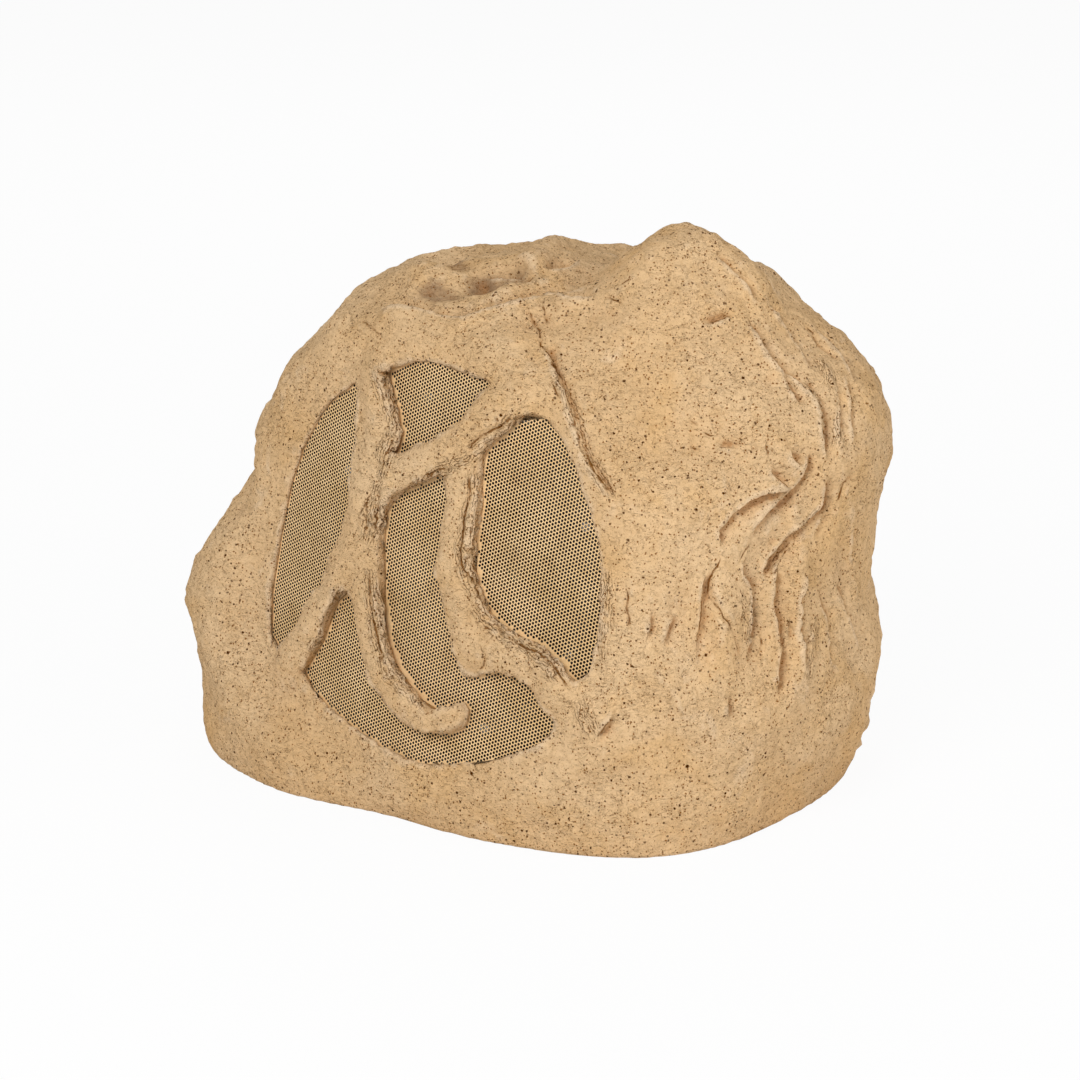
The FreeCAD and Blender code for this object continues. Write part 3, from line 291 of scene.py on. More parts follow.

# strokes, as pixels of the photograph: kind, depth and width in mm, then the line
# a ledge stands proud on the left of its line and falls away on the right; torn is a band of split layers
rockStrokes = [
    # creases from the crown down beside the sheet
    ("ledge", 2.2, 2.6, [(614, 500), (597, 476), (582, 446), (575, 420), (567, 396), (552, 362), (544, 340)]),
    ("crack", 2.0, 1.6, [(527, 308), (533, 318), (540, 330), (541, 344), (546, 353), (556, 363), (564, 379)]),
    ("crack", 1.6, 1.6, [(542, 304), (546, 316), (548, 330)]),
    ("crack", 1.4, 1.5, [(550, 373), (554, 388), (562, 404)]),
    ("torn", 0.9, 4.0, [(556, 366), (568, 394), (578, 424), (586, 450), (602, 480), (616, 502)]),
    ("crack", 1.2, 1.4, [(603, 296), (619, 302), (631, 310)]),
    ("crack", 1.0, 1.4, [(601, 289), (621, 285), (644, 273)]),
    # crown
    ("ledge", 4.4, 3.6, [(597, 296), (576, 298), (544, 298), (523, 301), (503, 306), (482, 312), (466, 319),
                         (452, 318), (431, 312), (411, 308), (382, 310)]),
    ("valley", 4.5, 9.0, [(414, 284), (434, 291), (452, 297), (472, 300)]),
    ("valley", 7.0, 12.0, [(470, 296), (486, 282), (508, 275), (532, 267)]),
    ("ledge", 4.0, 4.0, [(528, 269), (512, 272), (498, 272), (484, 270)]),
    ("ledge", 4.0, 4.0, [(578, 260), (566, 269), (557, 271), (544, 268)]),
    ("valley", 3.5, 8.0, [(444, 259), (454, 264), (470, 271)]),
    ("ridge", 4.0, 9.0, [(516, 268), (540, 252), (558, 240)]),
    ("ridge", 3.0, 8.0, [(410, 268), (434, 272), (456, 278), (478, 284)]),
    ("ridge", 2.4, 6.0, [(430, 304), (470, 307), (500, 297), (530, 286), (556, 282)]),
    ("crack", 1.4, 1.6, [(520, 283), (528, 277), (536, 274)]),
    ("crack", 1.2, 1.6, [(396, 292), (412, 284), (424, 278)]),
    ("torn", 0.7, 4.0, [(420, 310), (450, 316), (470, 316), (490, 309)]),
    ("crack", 1.8, 1.6, [(361, 320), (372, 328), (380, 336), (387, 345)]),
    # the peak and its shelf
    ("ridge", 1.8, 3.5, [(669, 261), (680, 250), (692, 246), (704, 247)]),
    ("ledge", 2.4, 2.6, [(756, 304), (747, 286), (732, 270), (715, 252)]),
    ("ledge", 2.0, 2.2, [(738, 316), (722, 319), (709, 323), (697, 321)]),
    ("crack", 1.0, 1.5, [(690, 297), (706, 296), (722, 300)]),
    # terraces round the right shoulder
    ("ledge", 2.0, 2.4, [(803, 406), (791, 390), (780, 372), (768, 357), (761, 342), (753, 326), (746, 315)]),
    ("ledge", 2.4, 2.6, [(823, 448), (820, 426), (820, 414), (814, 400), (806, 389), (797, 378), (784, 370),
                         (771, 356), (764, 340), (757, 325)]),
    ("ledge", 2.2, 2.4, [(829, 462), (825, 448), (826, 430), (826, 416), (822, 401), (814, 388), (801, 376)]),
    ("ledge", 2.0, 2.4, [(813, 371), (807, 359), (799, 347), (789, 332), (778, 315), (766, 303)]),
    ("crack", 2.6, 2.0, [(799, 321), (812, 334), (820, 346), (830, 355), (841, 363)]),
    ("ledge", 1.8, 2.6, [(858, 384), (843, 358), (829, 344), (816, 330)]),
    ("ledge", 1.6, 2.6, [(850, 450), (852, 425), (850, 397), (846, 374)]),
    ("ledge", 1.6, 2.4, [(838, 440), (842, 416), (838, 396), (830, 378)]),
    ("torn", 0.6, 5.0, [(812, 350), (826, 372), (836, 400), (838, 430), (834, 456)]),
    # pits on the broad facet
    ("crack", 1.8, 1.5, [(690, 445), (694, 448), (698, 446)]),
    ("ledge", 1.6, 1.6, [(744, 446), (734, 447), (722, 448), (714, 445)]),
    ("crack", 1.5, 1.5, [(701, 430), (706, 435), (714, 437), (720, 436)]),
    ("crack", 1.4, 1.5, [(713, 434), (714, 428), (720, 425)]),
    ("crack", 1.2, 1.5, [(704, 466), (712, 467)]),
    ("crack", 1.0, 1.5, [(684, 416), (694, 424), (703, 429)]),
    ("crack", 1.6, 1.6, [(766, 437), (768, 447), (770, 462)]),
    # folds of the right flank
    ("ledge", 2.0, 2.0, [(791, 491), (780, 481), (772, 473), (770, 462)]),
    ("ledge", 1.8, 2.2, [(803, 470), (793, 458), (791, 446)]),
    ("ledge", 3.2, 2.6, [(720, 552), (719, 543), (721, 530), (733, 515), (749, 502), (768, 494), (790, 489)]),
    ("crack", 2.2, 1.8, [(720, 552), (716, 567), (710, 582), (707, 595), (712, 601), (725, 619), (733, 634),
                         (739, 651), (740, 662)]),
    ("ledge", 1.8, 2.2, [(697, 664), (697, 649), (700, 627), (701, 601), (702, 584), (708, 572)]),
    ("ledge", 3.2, 2.6, [(753, 536), (757, 525), (768, 512), (783, 500), (796, 487), (808, 466), (810, 451)]),
    ("crack", 1.8, 1.8, [(753, 536), (746, 548), (738, 560), (733, 570)]),
    ("ledge", 3.0, 2.6, [(762, 582), (763, 571), (768, 560), (781, 547), (790, 536), (809, 521), (824, 505),
                         (828, 477)]),
    ("ledge", 2.6, 2.2, [(749, 662), (749, 649), (752, 627), (751, 606), (749, 586), (742, 575), (740, 560)]),
    ("crack", 2.0, 1.6, [(762, 630), (763, 645), (758, 664)]),
    ("ledge", 2.4, 2.8, [(777, 697), (778, 675), (781, 656), (778, 621), (775, 601), (777, 582), (779, 560)]),
    ("ledge", 2.6, 2.4, [(850, 567), (850, 549), (853, 530), (857, 523)]),
    ("crack", 2.4, 2.2, [(835, 506), (841, 497), (843, 483), (849, 478), (856, 478)]),
    ("ledge", 1.8, 2.6, [(816, 545), (820, 525), (830, 508)]),
    ("ledge", 1.6, 2.4, [(806, 671), (805, 645), (801, 630), (803, 600), (812, 570)]),
    ("ledge", 1.4, 2.4, [(789, 654), (790, 632), (792, 610)]),
    ("ledge", 1.8, 3.0, [(861, 651), (853, 632), (842, 599), (836, 580)]),
    ("ledge", 1.6, 3.0, [(832, 680), (830, 650), (826, 615), (822, 590)]),
    ("torn", 0.8, 5.0, [(736, 580), (744, 610), (746, 650)]),
    ("torn", 0.7, 5.0, [(822, 505), (800, 530), (782, 552), (770, 580)]),
    ("torn", 0.5, 7.0, [(806, 690), (812, 650), (818, 610)]),
    # the low front
    ("crack", 1.6, 1.5, [(626, 580), (627, 597), (626, 608), (629, 619), (629, 632)]),
    ("ledge", 1.5, 1.8, [(645, 647), (646, 640), (651, 619), (655, 608)]),
    ("ledge", 1.7, 1.8, [(664, 647), (665, 640), (671, 623), (680, 610)]),
    ("ridge", 1.6, 2.6, [(649, 653), (658, 673), (671, 688), (681, 708), (690, 716)]),
    ("crack", 1.0, 1.6, [(692, 671), (694, 688), (701, 710)]),
    ("ledge", 1.8, 1.8, [(728, 721), (729, 710), (730, 692)]),
    ("ledge", 1.8, 1.8, [(599, 749), (597, 742), (599, 736), (610, 723), (614, 710)]),
    ("torn", 0.7, 6.0, [(578, 690), (588, 720), (600, 742)]),
    ("torn", 0.7, 5.0, [(606, 560), (606, 600), (603, 640), (600, 670)]),
    # split layers down the right of each finger
    ("torn", 1.4, 5.6, [(379, 362), (385, 386), (391, 406), (394, 428), (388, 450), (384, 472), (377, 500),
                        (371, 530), (367, 552)]),
    ("torn", 1.2, 4.6, [(347, 585), (333, 604), (325, 630), (309, 656)]),
    ("torn", 1.3, 5.2, [(367, 560), (374, 600), (380, 635), (387, 665), (406, 690), (424, 711)]),
    ("torn", 1.3, 4.8, [(388, 496), (410, 488), (430, 477), (450, 466), (466, 460), (485, 445), (505, 428),
                        (520, 414)]),
    ("torn", 1.4, 5.8, [(472, 464), (472, 495), (468, 520), (463, 545), (465, 568), (477, 592), (488, 615),
                        (507, 635), (529, 648), (548, 660), (565, 682)]),
    ("crack", 1.4, 1.5, [(379, 367), (386, 386), (393, 405), (396, 427), (389, 449), (385, 473), (381, 496),
                         (376, 522), (371, 549)]),
    ("crack", 1.8, 1.5, [(373, 484), (367, 508), (366, 537)]),
    ("crack", 1.8, 1.5, [(368, 563), (371, 593), (374, 619), (380, 646), (383, 669)]),
    ("crack", 2.0, 1.5, [(377, 563), (385, 602), (389, 631), (396, 663), (413, 687), (424, 707), (435, 715)]),
    ("crack", 1.6, 1.5, [(373, 684), (383, 672), (396, 668)]),
    ("crack", 1.8, 1.5, [(346, 590), (333, 608), (329, 631), (313, 657)]),
    ("crack", 1.4, 1.5, [(335, 602), (322, 619)]),
    ("crack", 2.2, 1.5, [(386, 497), (401, 493), (418, 483), (436, 471), (451, 467)]),
    ("crack", 1.6, 1.5, [(407, 487), (424, 475), (442, 464)]),
    ("crack", 2.0, 1.5, [(465, 458), (480, 437), (503, 423), (515, 415)]),
    ("crack", 2.0, 1.5, [(470, 467), (470, 490), (465, 514), (461, 543), (462, 566), (474, 584), (487, 612)]),
    ("crack", 1.8, 1.5, [(477, 520), (471, 555), (480, 590)]),
    ("crack", 2.0, 1.5, [(483, 622), (503, 634), (524, 648), (542, 655), (556, 672), (572, 690)]),
    ("crack", 1.8, 1.5, [(466, 667), (482, 670), (486, 657), (477, 640)]),
]


def applyModifiers(piece):
    bpy.context.view_layer.update()
    ready = piece.evaluated_get(bpy.context.evaluated_depsgraph_get())
    mesh = bpy.data.meshes.new_from_object(ready)
    piece.modifiers.clear()
    piece.data = mesh


def points(mesh):
    flat = np.zeros(len(mesh.vertices) * 3)
    mesh.vertices.foreach_get("co", flat)
    return flat.reshape(-1, 3)


def normals(mesh):
    flat = np.zeros(len(mesh.vertices) * 3, np.float32)
    mesh.vertex_normals.foreach_get("vector", flat)
    return flat.reshape(-1, 3).astype(float)


def meshTree(mesh):
    return BVHTree.FromPolygons([v.co for v in mesh.vertices], [p.vertices for p in mesh.polygons])


def evenRock():
    mesh = nodes["rock_shell"].data.copy()
    work = bmesh.new()
    work.from_mesh(mesh)
    bmesh.ops.remove_doubles(work, verts=work.verts, dist=1e-6)
    work.to_mesh(mesh)
    work.free()
    rock = newPiece("boulderSkin", mesh)
    voxels = rock.modifiers.new("voxels", "REMESH")
    voxels.mode = "VOXEL"
    voxels.voxel_size = rockSet["voxel"]
    applyModifiers(rock)
    return rock


def outerMask(mesh):
    # a point is outside when a line from the boulder's axis through it meets no more stone
    tree = meshTree(mesh)
    mask = np.zeros(len(mesh.vertices), bool)
    for vertex in mesh.vertices:
        p = vertex.co
        level = min(max(p.z, maskSet["axisLow"]), maskSet["axisHigh"])
        away = (p - Vector((0.0, 0.0, level))).normalized()
        hit = tree.ray_cast(p + vertex.normal * maskSet["lift"] + away * maskSet["step"], away)[0]
        # the fingers' walls may see the next finger
        wall = p.y < maskSet["wallFront"] and hit is not None and (hit - p).length < maskSet["wallReach"]
        mask[vertex.index] = hit is None or (wall and away.dot(vertex.normal) > maskSet["wallTurn"])
    return mask


def onRock(tree, line):
    placed = []
    for px, py in line:
        start, ray = sightLine(px, py)
        hit = tree.ray_cast(start, ray)[0]
        if hit is not None:
            placed.append(np.array(hit))
    return placed


def strokeReach(where, path):
    # distance from a line, its side as the camera sees it, and a share that fades to nought at its ends
    best = np.full(len(where), 1.0)
    side = np.zeros(len(where))
    along = np.zeros(len(where))
    view = np.array(towardsCamera)
    done = 0.0
    for a, b in zip(path, path[1:]):
        run = b - a
        length = np.linalg.norm(run)
        t = np.clip((where - a) @ run / length ** 2, 0.0, 1.0)
        off = where - (a + t[:, None] * run)
        far = np.linalg.norm(off, axis=1)
        nearer = far < best
        best[nearer] = far[nearer]
        side[nearer] = np.sign(np.cross(run, off[nearer]) @ view)
        along[nearer] = done + t[nearer] * length
        done += length
    fadeLength = min(strokeSet["fadeLength"], strokeSet["fadeShare"] * done)
    fade = np.clip(np.minimum(along, done - along) / fadeLength, 0.0, 1.0)
    return best, side, fade


def mound(far, width):
    return np.exp(-(far / width) ** 2)


def strokeDepth(best, side, kind, depth, width):
    # how far each point moves along its normal for one stroke
    if kind in ("ridge", "torn"):
        return depth * mound(best, width)
    if kind == "valley":
        return -depth * mound(best, width)
    if kind == "crack":
        lip = strokeSet["lip"] * depth * mound(best, strokeSet["lipWidth"] * width)
        return -depth * mound(best, width) + lip
    signed = best * side
    left = 0.5 * (1 + np.tanh(signed / (strokeSet["edge"] * width)))
    proud = strokeSet["proud"] * mound(signed, strokeSet["proudWidth"] * width)
    fall = strokeSet["fall"] * mound(signed, strokeSet["fallWidth"] * width)
    return strokeSet["ledgeGain"] * depth * (left * proud - (1 - left) * fall)


def softened(mesh, chosen):
    work = bmesh.new()
    work.from_mesh(mesh)
    work.verts.ensure_lookup_table()
    skin = [work.verts[int(k)] for k in chosen]
    for _ in range(rockSet["softenRounds"]):
        bmesh.ops.smooth_vert(work, verts=skin, factor=0.5, use_axis_x=True, use_axis_y=True, use_axis_z=True)
    work.to_mesh(mesh)
    work.free()


def fractalAt(spots, name, hardness, octaves, stretch=(1.0, 1.0, 1.0)):
    grow = [Vector((p.x * stretch[0], p.y * stretch[1], p.z * stretch[2])) * rockNoise[name] for p in spots]
    return np.array([noise.fractal(p, hardness, rockNoise["lacunarity"], octaves) for p in grow])


def ridgesAt(spots, name, octaves, stretch=1.0):
    # ridged noise about its own mean; stretch draws the ridges out along the height
    grow = [Vector((p.x, p.y, p.z * stretch)) * rockNoise[name] for p in spots]
    ridges = np.array([noise.ridged_multi_fractal(p, 1.0, rockNoise["lacunarity"], octaves, 0.9, 1.6)
                       for p in grow])
    return ridges - ridges.mean()


def weathering(spots, where, out):
    # broken ridges and strata, faint on the smooth facets and strong on the crown, the back and the far sides
    hidden = np.clip(0.5 - 2.0 * out @ np.array(towardsCamera), 0.0, 1.0)
    crown = np.clip((where[:, 2] - zoneSet["crownFoot"]) / zoneSet["crownRise"], 0.0, 1.0)
    flank = np.clip((where[:, 0] - zoneSet["flankFoot"]) / zoneSet["flankRise"], 0.0, 1.0) * (1.0 - crown)
    rugged = np.maximum(np.maximum(hidden, zoneSet["crownShare"] * crown), zoneSet["leastShare"])
    broken = rockSet["brokenHeight"] * rugged * ridgesAt(spots, "broken", 4)
    creased = np.maximum(zoneSet["flankShare"] * flank, hidden)
    folds = rockSet["foldHeight"] * creased * ridgesAt(spots, "folded", 3, 0.3)
    drift = np.array([noise.noise(p * rockNoise["drift"]) for p in spots])
    patch = [0.45 + 1.5 * noise.noise(p * rockNoise["patch"] + Vector((3.0, 7.0, 1.0))) for p in spots]
    rise = where @ np.array(strataSet["slope"]) + strataSet["drift"] * drift
    within = (rise / strataSet["gap"]) % 1.0
    step = within * np.clip((1.0 - within) / strataSet["fall"], 0.0, 1.0) - strataSet["level"]
    strata = strataSet["height"] * hidden * np.clip(patch, 0.0, 1.0) * step
    return broken, folds, strata


def wallLayers(where, out, swell, grain):
    # torn layers on walls that stand square to the face
    flat = faceFrame().inverted()
    turn = np.array(flat.to_3x3())
    local = where @ turn.T + np.array(flat.translation)
    square = np.abs((out @ turn.T)[:, 2]) < wallSet["facing"]
    near = (np.hypot(local[:, 0], local[:, 1]) < wallSet["reach"]) & (local[:, 2] > -wallSet["depth"])
    near = near & square
    depthNow = local[:, 2] + rockSet["layerDrift"] * swell
    return near * rockSet["layerHeight"] * np.sin(depthNow * 2 * math.pi / rockSet["layerGap"] + 2 * grain)


def sculpt(rock, outer):
    mesh = rock.data
    chosen = np.flatnonzero(outer)
    softened(mesh, chosen)
    tree = meshTree(mesh)
    where, out = points(mesh), normals(mesh)
    skin, skinOut = where[chosen], out[chosen]
    spots = [Vector(p) for p in skin]
    wander = np.array([noise.noise_vector(p * rockNoise["wander"]) +
                       0.4 * noise.noise_vector(p * rockNoise["wanderFine"]) for p in spots])
    swell = fractalAt(spots, "swell", 0.9, 4)
    grain = fractalAt(spots, "grain", 0.8, 3, (1.3, 1.3, 0.7))
    rough = fractalAt(spots, "rough", 0.7, 2)
    vary = np.array([1.0 + 0.7 * noise.noise(p * rockNoise["vary"]) for p in spots])
    push = swell * rockSet["swellHeight"] + grain * rockSet["grainHeight"]
    for relief in weathering(spots, skin, skinOut):
        push += relief
    push += wallLayers(skin, skinOut, swell, grain)
    markNames = ("lineSide", "lineForce", "tornSide", "tornForce", "valleyDark")
    marks = {name: np.zeros(len(where)) for name in markNames}
    moved = skin + wander * rockSet["wander"]
    for kind, depth, millimetres, line in rockStrokes:
        path = onRock(tree, line)
        if len(path) < 2:
            continue
        best, side, fade = strokeReach(moved, path)
        force = fade * vary
        width = strokeSet["millimetre"] * millimetres
        push += strokeSet["millimetre"] * force * strokeDepth(best, side, kind, depth, width)
        if kind == "valley":
            marks["valleyDark"][chosen] = np.maximum(marks["valleyDark"][chosen], force * mound(best, width))
        elif kind == "torn":
            force = force * min(1.0, depth) * mound(best, width * vary)
            split = np.cos(best * side * 2 * math.pi / rockSet["splitGap"] + 2.5 * grain)
            push += force * (rockSet["roughHeight"] * rough + rockSet["splitHeight"] * split)
            keepMark(marks, "torn", chosen, force, best * side)
        elif kind != "ridge":
            force = force * min(1.0, depth / 2.0) * mound(best, rockSet["lineReach"])
            keepMark(marks, "line", chosen, force, best * side)
    # the rim that stands on the ground stays flat
    push *= np.clip(skin[:, 2] / rockSet["rimRise"], 0.0, 1.0)
    where[chosen] += skinOut * push[:, None]
    keepInside(mesh, where)
    return marks


def keepInside(mesh, where):
    mesh.vertices.foreach_set("co", np.clip(where, np.array(cadBox[0]), np.array(cadBox[1])).ravel())
    mesh.update()


def keepMark(marks, name, chosen, force, signed):
    # the strongest stroke at a point keeps its own distance there
    stronger = force > marks[name + "Force"][chosen]
    spot = chosen[stronger]
    marks[name + "Force"][spot] = force[stronger]
    marks[name + "Side"][spot] = signed[stronger] / rockSet["sideReach"]


def creases(mesh):
    # how hollow, or below nought how proud, the stone is at each point
    where, out = points(mesh), normals(mesh)
    pairs = np.zeros(len(mesh.edges) * 2, np.int64)
    mesh.edges.foreach_get("vertices", pairs)
    pairs = pairs.reshape(-1, 2)
    count = np.maximum(np.bincount(pairs.ravel(), minlength=len(where)), 1).astype(float)

    def around(values):
        sums = [np.bincount(pairs[:, 0], column[pairs[:, 1]], len(where)) +
                np.bincount(pairs[:, 1], column[pairs[:, 0]], len(where)) for column in values.T]
        return np.stack(sums, 1) / count[:, None]

    soft = where
    for _ in range(4):
        soft = around(soft)
    bend = np.einsum("ij,ij->i", soft - where, out) / rockSet["voxel"]
    return around(bend[:, None])[:, 0]


def thinRock(rock, outer, marks):
    # the cavity's wall is never seen, so it gives up its faces first
    mesh = rock.data
    fine = KDTree(len(mesh.vertices))
    for k, p in enumerate(points(mesh)):
        fine.insert(p, k)
    fine.balance()
    inside = rock.vertex_groups.new(name="inside")
    inside.add([int(k) for k in np.flatnonzero(~outer)], 1.0, "REPLACE")
    inside.add([int(k) for k in np.flatnonzero(outer)], 0.12, "REPLACE")
    thin = rock.modifiers.new("thin", "DECIMATE")
    thin.ratio = rockSet["triangles"] / sum(len(p.vertices) - 2 for p in mesh.polygons)
    thin.vertex_group = "inside"
    thin.use_collapse_triangulate = True
    applyModifiers(rock)
    rock.vertex_groups.clear()
    keepInside(rock.data, points(rock.data))
    nearest = [fine.find(v.co)[1] for v in rock.data.vertices]
    print("boulder thinned, share of points outside", round(float(outer[nearest].mean()), 3))
    for name, values in marks.items():
        layer = rock.data.attributes.new(name, "FLOAT", "POINT")
        layer.data.foreach_set("value", np.clip(values[nearest], -1.0, 1.0).astype(np.float32))


# one dark brown darkens the carved valleys
# the palest tone is painted highlight on the proud edges as well as pale patches
# the red brown is painted shade with a reddish stain in the creases
# the stain brown is also painted shadow along the crack lines and between the split layers
stoneLook = {"pale": (0.80, 0.555, 0.315), "tan": (0.735, 0.48, 0.245), "deep": (0.55, 0.32, 0.13),
             "ochre": (0.74, 0.44, 0.175), "stainAndShadow": (0.23, 0.085, 0.012), "rustAndShade": (0.41, 0.17, 0.045),
             "paleAndHighlight": (0.86, 0.65, 0.43), "valleyDark": (0.21, 0.12, 0.07), "speck": (0.085, 0.026, 0.003)}


def speckle(look, scale, share, reach, place):
    # dots in some of the cells, each of its own size
    far = look.cells(scale, place=place)
    chance = look.red(look.cells(scale, "Color", place=place))
    size = look.fade(chance, share, 1.0, 0.35, 1.0) * reach
    return look.fade(far - size, -0.07, 0.03, 1.0, 0.0) * (chance > share)


def sandstone():
    look = Finish("sandstoneFinish")
    crease, valleyDark = look.attribute("crease"), look.attribute("valleyDark")
    broad = look.cloud(10.0, 4.0, 0.6)
    middle = look.cloud(60.0, 4.0, 0.6, 0.6)
    patch = look.cloud(24.0, 3.0, 0.6, 0.4)
    fine = look.cloud(650.0, 3.0, 0.6)
    lumps = look.cloud(280.0, 4.0, 0.6, 0.8)
    flow = look.cloud(150.0, 5.0, 0.65, 2.0, look.stretched((1.0, 1.0, 0.5)))
    flakes = look.cloud(180.0, 3.0, 0.6, 0.6, look.stretched((1.0, 1.0, 1.8)))
    scales = look.cloud(420.0, 2.0, 0.6, 0.4, look.stretched((1.0, 1.0, 1.6), (0.3, 0.2, 0.0)))
    crooked = look.crooked(900.0, 0.0011)
    colour = look.blend(look.fade(broad, 0.3, 0.7), stoneLook["tan"], stoneLook["pale"])
    colour = look.tint(colour, look.cloud(17.0, 3.0, 0.6, 0.5), 0.5, 0.72, 0.4, stoneLook["ochre"])
    colour = look.tint(colour, look.cloud(38.0, 3.0, 0.6, 0.5), 0.6, 0.74, 0.45, stoneLook["paleAndHighlight"])
    colour = look.tint(colour, middle, 0.5, 0.8, 0.35, stoneLook["deep"])
    colour = look.tint(colour, lumps, 0.5, 0.8, 0.3, stoneLook["deep"])
    colour = look.tint(colour, fine, 0.48, 0.8, 0.3, stoneLook["deep"])
    # darker in the carved valleys
    valleyDarkening = look.fade(valleyDark, 0.15, 0.9, 0.0, 0.7) * look.fade(middle, 0.3, 0.6, 0.5, 1.0)
    colour = look.blend(valleyDarkening, colour, stoneLook["valleyDark"])
    # painted shade in the creases, with a reddish stain
    colour = look.tint(colour, crease, 0.05, 0.5, 0.5, stoneLook["rustAndShade"])
    # painted highlight on the proud edges
    colour = look.tint(colour, crease * -1.0, 0.08, 0.45, 0.5, stoneLook["paleAndHighlight"])
    # painted shadow lines along the cracks and ledges, and painted shade between the split layers, from the
    # distance to their strokes in mm
    inMillimetres = rockSet["sideReach"] / strokeSet["millimetre"]
    lineSide = look.attribute("lineSide") * inMillimetres
    line = look.fade((lineSide + (lumps - 0.5) * 1.4).size(), 0.15, 0.95, 1.0, 0.0)
    line = line * look.fade(look.attribute("lineForce"), 0.2, 0.6)
    line = line * look.fade(look.cloud(95.0), 0.42, 0.56, 0.15, 1.0)
    tornSide = look.attribute("tornSide") * inMillimetres + (middle - 0.5) * 9.0 + (lumps - 0.5) * 3.0
    torn = look.fade(look.node("Math", {"operation": "PINGPONG"}, {0: tornSide, 1: 0.9}), 0.0, 0.4, 1.0, 0.0)
    torn = torn * look.fade(look.attribute("tornForce"), 0.12, 0.6) * look.fade(lumps, 0.36, 0.54)
    colour = look.blend(torn * 0.85, colour, stoneLook["stainAndShadow"])
    colour = look.blend(line * 0.9, colour, stoneLook["stainAndShadow"])
    # flaked edges, broken into short dashes
    dash = look.fade((flakes - 0.515).size(), 0.0, 0.022, 1.0, 0.0) * look.fade(lumps, 0.48, 0.58)
    tick = look.fade((scales - 0.52).size(), 0.0, 0.03, 1.0, 0.0) * look.fade(flakes, 0.5, 0.6)
    dense = look.fade(patch, 0.38, 0.6, 0.45, 1.0)
    colour = look.blend(dash * dense * 0.85, colour, stoneLook["stainAndShadow"])
    colour = look.blend(tick * dense * 0.75, colour, stoneLook["stainAndShadow"])
    # pores, specks and dust
    pores = speckle(look, 140.0, 0.9, 0.18, crooked)
    specks = speckle(look, 380.0, 0.73, 0.31, crooked)
    dots = speckle(look, 640.0, 0.55, 0.4, crooked)
    dust = speckle(look, 1100.0, 0.5, 0.4, crooked)
    colour = look.blend(dust * 0.34, colour, stoneLook["stainAndShadow"])
    colour = look.blend(dots * 0.9, colour, stoneLook["stainAndShadow"])
    colour = look.blend(specks * look.fade(patch, 0.35, 0.6, 0.75, 1.0), colour, stoneLook["speck"])
    colour = look.blend(pores, colour, stoneLook["speck"])
    steps = look.fade(flakes, 0.5, 0.535) * 0.5 + look.fade(scales, 0.5, 0.55) * 0.22
    height = fine * 0.5 + middle * 2.0 + lumps * 1.3 + flow * 0.5 + steps * dense
    height = height - dash * 0.3 - specks * 0.15 - pores * 0.3 - line * 0.8 - torn * 0.8
    look.relief(height, 0.0009, 1.0)
    return look.finish({"Base Color": colour, "Roughness": look.fade(fine, 0.2, 0.8, 0.85, 0.98),
                        "Specular IOR Level": 0.0})


rock = evenRock()
print("boulder evened,", len(rock.data.polygons), "faces")
outerSkin = outerMask(rock.data)
handMarks = sculpt(rock, outerSkin)
handMarks["crease"] = creases(rock.data)
thinRock(rock, outerSkin, handMarks)
for face in rock.data.polygons:
    face.use_smooth = True
rock.data.materials.clear()
rock.data.materials.append(sandstone())
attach(rock, "boulder")
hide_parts("rock_shell")
print("boulder worked,", len(rock.data.polygons), "faces")

# the perforated sheet behind the fingers
sheetLook = [(0.92, 0.645, 0.345), (0.78, 0.525, 0.255), (0.36, 0.18, 0.05)]
# look and clear: how far off the sheet the lines start that find what lies under it and over it
sheetSet = {"drop": 0.0039, "thick": 0.0005, "pitch": 0.00225, "web": 0.00066, "rowTurn": 28.0, "split": 0.0,
            "look": 0.03, "reach": 0.06, "clear": 0.0006, "weld": 0.05, "wallTurn": 0.6,
            "rowDoublings": 8, "sheetDoublings": 7}


